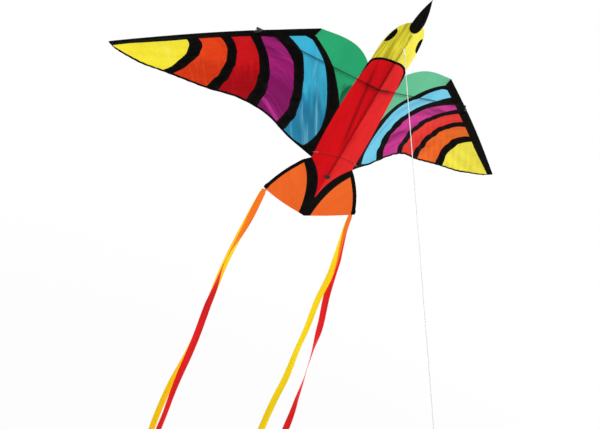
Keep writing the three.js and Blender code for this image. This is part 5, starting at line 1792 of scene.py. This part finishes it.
@dataclass
class Spine(Assembly):
    """The spine and what crosses it: its sleeve, caps, the flexible tube and the rump's batten."""

    body: Body
    top: float = 42.0  # its upper end
    foot: float = -474.0  # its lower end
    sleeve_top: float = -14.0
    sleeve_foot: float = -460.0
    tube_half: float = 45.0  # half the tube's length
    tube_play: float = 0.2  # between the spreader's skin and the tube's bore
    batten_reach: float = 84.0  # half the batten's length
    batten_sweep: float = 17.0  # how far its ends drop
    batten_radius: float = 1.2
    batten_bend: float = 24.0  # a reach out from the middle
    cap_radius: float = 3.75  # of the cap on the spine's foot
    cap_length: float = 12.0
    tie_z: float = -475.2  # height of the pin that ties the cap to the belly
    pin_radius: float = 1.5
    button: Point = (10.0, 2.2, 8.0)  # half width, depth and length of the pin's oval button

    def line(self, z: Any) -> Array:
        """Points of the spine's middle line."""
        return xyz(0.0, self.form.seam_back(z) + SPINE_BACKSET, z)

    def tunnel_patch(self) -> Patch:
        """The spine's tunnel: a round section open at the front, where a web meets the seam."""
        z = lerp(self.sleeve_foot, self.sleeve_top, steps(70))
        angle = np.radians(np.linspace(-62.0, 242.0, 26))
        lining = np.radians(np.linspace(-75.0, 255.0, 28))
        radius, bore, web = SPINE_RADIUS + SLEEVE_WALL, SPINE_RADIUS + PLAY, 0.75 - SPINE_BACKSET
        out = np.concatenate([[0.3], radius * np.cos(angle), [-0.3]])
        back = np.concatenate([[web], radius * np.sin(angle), [web]])
        waves = np.cos(3.0 * np.radians(np.linspace(-70.0, 250.0, 28)))
        pucker = 1.0 + 0.03 * np.sin(z / 4.1)[:, None] * waves
        middle = self.line(z)
        outside = middle[:, None] + xyz(out * pucker, back, 0.0)
        inside = middle[:, None] + xyz(bore * np.cos(lining), bore * np.sin(lining), 0.0)
        return lined_patch(outside, inside, middle, steps(27))

    def tube_path(self) -> Array:
        """The right half of the tube: a parabola over the bend, then straight to the rod."""
        inner, outer = self.form.spreader_ends
        rise, fall = (outer - inner)[1:] / outer[0]
        x = lerp(0.0, self.tube_half, steps(30) ** 1.4)
        reach = np.where(x < TUBE_BEND, x**2 / (2.0 * TUBE_BEND) + TUBE_BEND / 2.0, x)
        return inner + xyz(x, reach * rise, reach * fall)

    def tube_wall(self) -> Patch:
        """The tube's wall: outside from the middle to its end, then back along its bore."""
        bore = self.form.spreader_radius + self.tube_play
        outside, inside = (tube_patch(self.tube_path(), radius, 28) for radius in (TUBE_RADIUS, bore))
        points = np.concatenate([outside.points, inside.points[::-1]])
        return Patch(points, np.concatenate([outside.cloth, inside.cloth[::-1]]), True)

    def tie_patches(self) -> list[Patch]:
        """The cap on the spine's foot, the pin through the seam and its oval button."""
        rim = self.foot + self.cap_length
        out, back = lerp(self.foot - 2.5, rim, steps(6)), lerp(rim, self.foot - PLAY, steps(6))
        heights = np.concatenate([out, back])
        radii = np.repeat([self.cap_radius, SPINE_RADIUS + PLAY], 7)[:, None, None]
        share = steps(24)[:-1]
        ring = xyz(np.cos(share * TURN), np.sin(share * TURN), 0.0)
        shell = flown(self.line(heights))[:, None] + MM * radii * ring
        share = np.broadcast_to(share, shell.shape[:2])
        cap = Patch(shell, pair(share, 0.0), True, True)
        wide, deep, long = self.button
        front = float(self.form.seam_back(self.tie_z)) - 0.85 - deep
        skin = self.line(self.tie_z)[1] - SPINE_RADIUS - 1.0
        ends = np.array([[0.0, front, self.tie_z], [0.0, skin, self.tie_z]])
        pin = tube_patch(lerp(ends[0], ends[1], steps(3)[:, None]), self.pin_radius, 16)
        tilt, share = (lerp(0.02, 0.98, steps(18)) * math.pi)[:, None], steps(32)[:-1]
        across, turn = np.sin(tilt), share * TURN
        bulge = xyz(wide * across * np.cos(turn), deep * across * np.sin(turn), long * np.cos(tilt))
        share = np.broadcast_to(share, bulge.shape[:2])
        return [cap, pin, Patch(flown(bulge + ends[0]), pair(share, share), True, True)]

    def batten_path(self) -> Array:
        """The right half of the batten: a shallow bow that follows the belly's surface."""
        share = steps(30)
        x = share * self.batten_reach
        z = self.body.batten_z - self.batten_sweep * share**2
        neck, rump = self.form.neck[2], self.form.rump[2]
        edge = self.form.point(0.0, np.clip((neck - z) / (neck - rump), 0.0, 1.0))
        return xyz(x, self.body.belly_back(x, z, edge) - self.batten_radius - 0.9, z)

    def build(self) -> None:
        """Make and place the pieces on the middle of the kite."""
        rod = tube_patch(self.line(lerp(self.foot, self.top, steps(16))), SPINE_RADIUS, 24)
        self.add("spine", "spine_rod", "dark_rod", rod)
        self.add("spine_tunnel", "spine_sleeve", "black_tunnel", self.tunnel_patch())
        self.shop.dress_node("spine_nose_cap", "black_moulding")
        self.add("tail_tie", "spine_tail_tie", "black_moulding", *self.tie_patches())
        batten = tube_patch(self.batten_path(), self.batten_radius, 14)
        bending = (
            ("middle_tube", "centre_tube", "black_vinyl", self.tube_wall(), self.tube_path()[0], TUBE_BEND),
            ("rump_batten", "belly_batten", "pale_rod", batten, self.batten_path()[0], self.batten_bend),
        )
        for side in Side:
            for name, node, finish, patch, centre, reach in bending:
                piece = self.add(f"{name}_{side.word}", node, finish, patch, body="", side=side)
                start = flown(centre * np.array([0.0, 1.0, 1.0]))
                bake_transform(piece)


@dataclass
class FlyingLine(Assembly):
    """The tow loop, the taut line and the hand loop on its far end."""

    angle_deg: float = 56.5  # the line's angle from straight down, in the kite frame
    radius: float = 1.2  # of the line
    length: float = 1250.0
    loop_radius: float = 0.9  # of the tow loop's cord
    loop_length: float = 19.0  # from the seam to the loop's end
    knot_radius: float = 3.0  # half a knot's width
    hand_length: float = 44.0  # of the hand loop
    hand_width: float = 18.0
    side_way: Array = field(default_factory=lambda: np.array([1.0, 0.0, 0.0]))

    @property
    def direction(self) -> Array:
        """The way that the line leaves the kite."""
        angle = math.radians(self.angle_deg)
        return np.array([0.0, -math.sin(angle), -math.cos(angle)])

    @property
    def knot_reach(self) -> float:
        """Half a knot's length along the line."""
        return 1.25 * self.knot_radius

    @property
    def knot_at(self) -> float:
        """How far down the line its upper knot sits."""
        return self.loop_length + self.loop_radius + PLAY + self.knot_reach

    @property
    def start(self) -> float:
        """Where the line leaves the knot."""
        return self.knot_at + self.knot_reach + PLAY

    def on_line(self, distance: Any) -> Array:
        """Points on the line's axis."""
        return np.asarray(distance, float)[..., None] * self.direction

    def knot_patch(self, distance: float) -> Patch:
        """A knot: a cord carried along a three-lobed curve that passes over and under itself.

        Args:
            distance: how far down the line its middle is.

        Returns:
            A closed tube.
        """
        a = steps(120)[:-1, None] * TURN
        lobes = (np.sin(a) + 2.0 * np.sin(2.0 * a)) * self.side_way
        lobes = lobes + (np.cos(a) - 2.0 * np.cos(2.0 * a)) * np.cross(self.direction, self.side_way)
        over = -(self.knot_reach - self.radius) * np.sin(3.0 * a) * self.direction
        off = (self.knot_radius - self.radius) / 3.0 * lobes + over
        return tube_patch(self.on_line(distance) + off, self.radius, 14, True, unit(off))

    def tow_patch(self) -> Patch:
        """The tow loop: round the spine, through the seam and together at the knot."""
        grip = SPINE_RADIUS + PLAY + self.loop_radius
        spine = float(self.form.seam_back(0.0)) + SPINE_BACKSET
        far = self.on_line(np.array([0.45, 0.85, 1.0]) * self.loop_length)
        half = np.array([
            [0.0, spine + grip, 0.0], [grip, spine, 0.0], [0.71 * grip, spine - 0.71 * grip, 0.0],
            [1.25, 0.6, 0.0], [1.25, *far[0, 1:]], [1.6, *far[1, 1:]], far[2],
        ])
        knots = np.concatenate([half, half[-2:0:-1] * np.array([-1.0, 1.0, 1.0])])
        path = spline(np.concatenate([knots[-1:], knots, knots[:2]]), steps(160)[:-1] * len(knots))
        return tube_patch(path, self.loop_radius, 12, True, np.array([0.0, 0.28, -0.96]))

    def hand_patches(self) -> list[Patch]:
        """The hand loop, an ellipse of cord, and the knot that closes it."""
        at = self.start + self.length + PLAY + self.knot_reach
        a, half = steps(90)[:-1] * TURN, self.hand_length / 2.0
        path = self.on_line(at + half - half * np.cos(a)) + xyz(self.hand_width / 2.0 * np.sin(a), 0.0, 0.0)
        guide = np.cross(self.side_way, self.direction)
        return [tube_patch(path, self.radius, 14, True, guide), self.knot_patch(at)]

    def build(self) -> None:
        axis = self.on_line(lerp(self.start, self.start + self.length, steps(30)))
        line, knot, hand, _ = (
            self.add(name, node, "white_braid", *patches) for name, node, patches in (
                ("taut_line", "flying_line", [tube_patch(axis, self.radius, 16)]),
                ("tow_knot", "line_knot", [self.knot_patch(self.knot_at)]),
                ("hand_loop", "line_hand_loop", self.hand_patches()),
                ("tow_cord", "tow_loop", [self.tow_patch()]),
            )
        )
        route = flown(axis)


# Studio


@dataclass
class Studio:
    """A white room: floor far below the kite, soft lamps, and the photograph's point of view."""

    eye: Point = (-2.0526, -3.1853, 0.0454)  # where the camera stands
    right: Point = (0.82427, -0.42871, 0.36984)  # the picture's way to the right
    up: Point = (-0.24153, 0.32456, 0.91451)
    back: Point = (-0.51209, -0.84314, 0.16397)  # from the scene to the camera
    lens: float = 75.37  # on a sensor 36 mm wide
    aim: Point = (0.0, 0.1, -0.2)  # the middle of the kite
    floor_drop: float = 0.02  # from the kite's lowest point to the floor
    floor_radius: float = 4.5  # how far the floor reaches before it is all white
    world_light: float = 0.62  # strength of the light from all round
    lamps: tuple[tuple[str, Point, float, float], ...] = (  # name, place, size and watts
        ("key", (2.6, -2.6, 2.2), 1.6, 84.0),
        ("fill", (-3.2, -2.4, 1.2), 2.6, 38.0),
        ("through_sail", (-1.5, 3.0, 2.0), 2.2, 145.0),
    )

    def put(self, name: str, data: Any, place: Point, turn: Matrix) -> bpy.types.Object:
        """Stand a camera or lamp somewhere, turned."""
        thing = bpy.data.objects.new(name, data)
        thing.matrix_world = Matrix.Translation(Vector(place)) @ turn.to_4x4()
        bpy.context.scene.collection.objects.link(thing)
        return thing

    def set_camera(self) -> None:
        """Stand the camera where the photograph was taken from."""
        data = bpy.data.cameras.new("photo_view")
        data.lens, data.sensor_width, data.sensor_fit = self.lens, 36.0, "HORIZONTAL"
        data.clip_end = 100.0
        turn = Matrix((self.right, self.up, self.back)).transposed()
        bpy.context.scene.camera = self.put("photo_view", data, self.eye, turn)

    def white_where_seen(self, sheet: ShaderSheet) -> Any:
        """1 for rays from the camera, from gloss and through clear things."""
        path = sheet.add("LightPath")
        seen = sheet.most(path["Is Camera Ray"], path["Is Glossy Ray"])
        return sheet.most(seen, path["Is Transmission Ray"])

    def set_floor(self, height: float) -> None:
        """Lay a pale round floor that keeps the kite's shadow and turns white far out.

        Args:
            height: where it lies, in metres.
        """
        sheet = ShaderSheet(bpy.data.materials.new("studio_floor"))
        place = sheet.coords["Object"]
        level = sheet.add("VectorMath", {0: place, 1: (1.0, 1.0, 0.0)}, operation="MULTIPLY")[0]
        far = sheet.add("VectorMath", {0: level}, operation="LENGTH")["Value"]
        colour = sheet.blend(sheet.noise(place, 3.0), (240, 240, 240), (246, 246, 246))
        inputs = {"Base Color": colour, "Roughness": 0.9, "Specular IOR Level": 0.0}
        matt = sheet.add("BsdfPrincipled", inputs)[0]
        white = sheet.add("Emission", {"Color": (1.0, 1.0, 1.0, 1.0), "Strength": 1.0})[0]
        edge = sheet.ramp(far, 0.9, self.floor_radius * 0.8, 0.98, 1.0)
        share = sheet.times(self.white_where_seen(sheet), edge)
        material = sheet.finish(sheet.add("MixShader", {0: share, 1: matt, 2: white})[0])
        ring = steps(96)[:-1] * TURN
        radius = np.array([0.02, 1.0, 2.2, self.floor_radius])[:, None]
        points = xyz(radius * np.cos(ring), radius * np.sin(ring), height)
        make_piece("floor", [Patch(points, points[..., :2], True, True)], material)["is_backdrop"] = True

    def light(self) -> None:
        """Hang square soft lamps aimed at the kite, in a world that is white to the eye."""
        world = bpy.data.worlds.new("white_room")
        bpy.context.scene.world = world
        sheet = ShaderSheet(world)
        rooms = ((0.97, 0.985, 1.0, 1.0), self.world_light), ((1.0, 1.0, 1.0, 1.0), 1.0)
        glow, white = (sheet.add("Background", {"Color": c, "Strength": s})[0] for c, s in rooms)
        mix = sheet.add("MixShader", {0: self.white_where_seen(sheet), 1: glow, 2: white})[0]
        sheet.finish(mix, "OutputWorld")
        for name, place, size, power in self.lamps:
            data = bpy.data.lights.new(name, "AREA")
            data.size, data.energy = size, power
            aim = Vector(self.aim) - Vector(place)
            self.put(name, data, place, aim.to_track_quat("-Z", "Y").to_matrix())


def main() -> None:
    """Build the kite in its studio, piece by piece."""
    logging.basicConfig(level=logging.INFO, format="%(message)s")
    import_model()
    cad_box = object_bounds()
    bpy.context.scene.view_settings.view_transform = "Standard"
    studio = Studio()
    studio.set_camera()
    shop = Workshop()
    shop.stock()
    FlyingLine(shop).build()
    Spine(shop, Body(shop, Side.RIGHT)).build()
    for side in Side:
        Wing(shop, side, SeamPlan(shop.form)).build()
        body = Body(shop, side)
        body.build()
        tail = TailFan(shop, side, body)
        tail.build()
        Streamers(shop, side, tail).build()
    studio.light()
    studio.set_floor(float(min(corner[2] for corner in cad_box)) - studio.floor_drop)


if __name__ == "__main__":
    main()
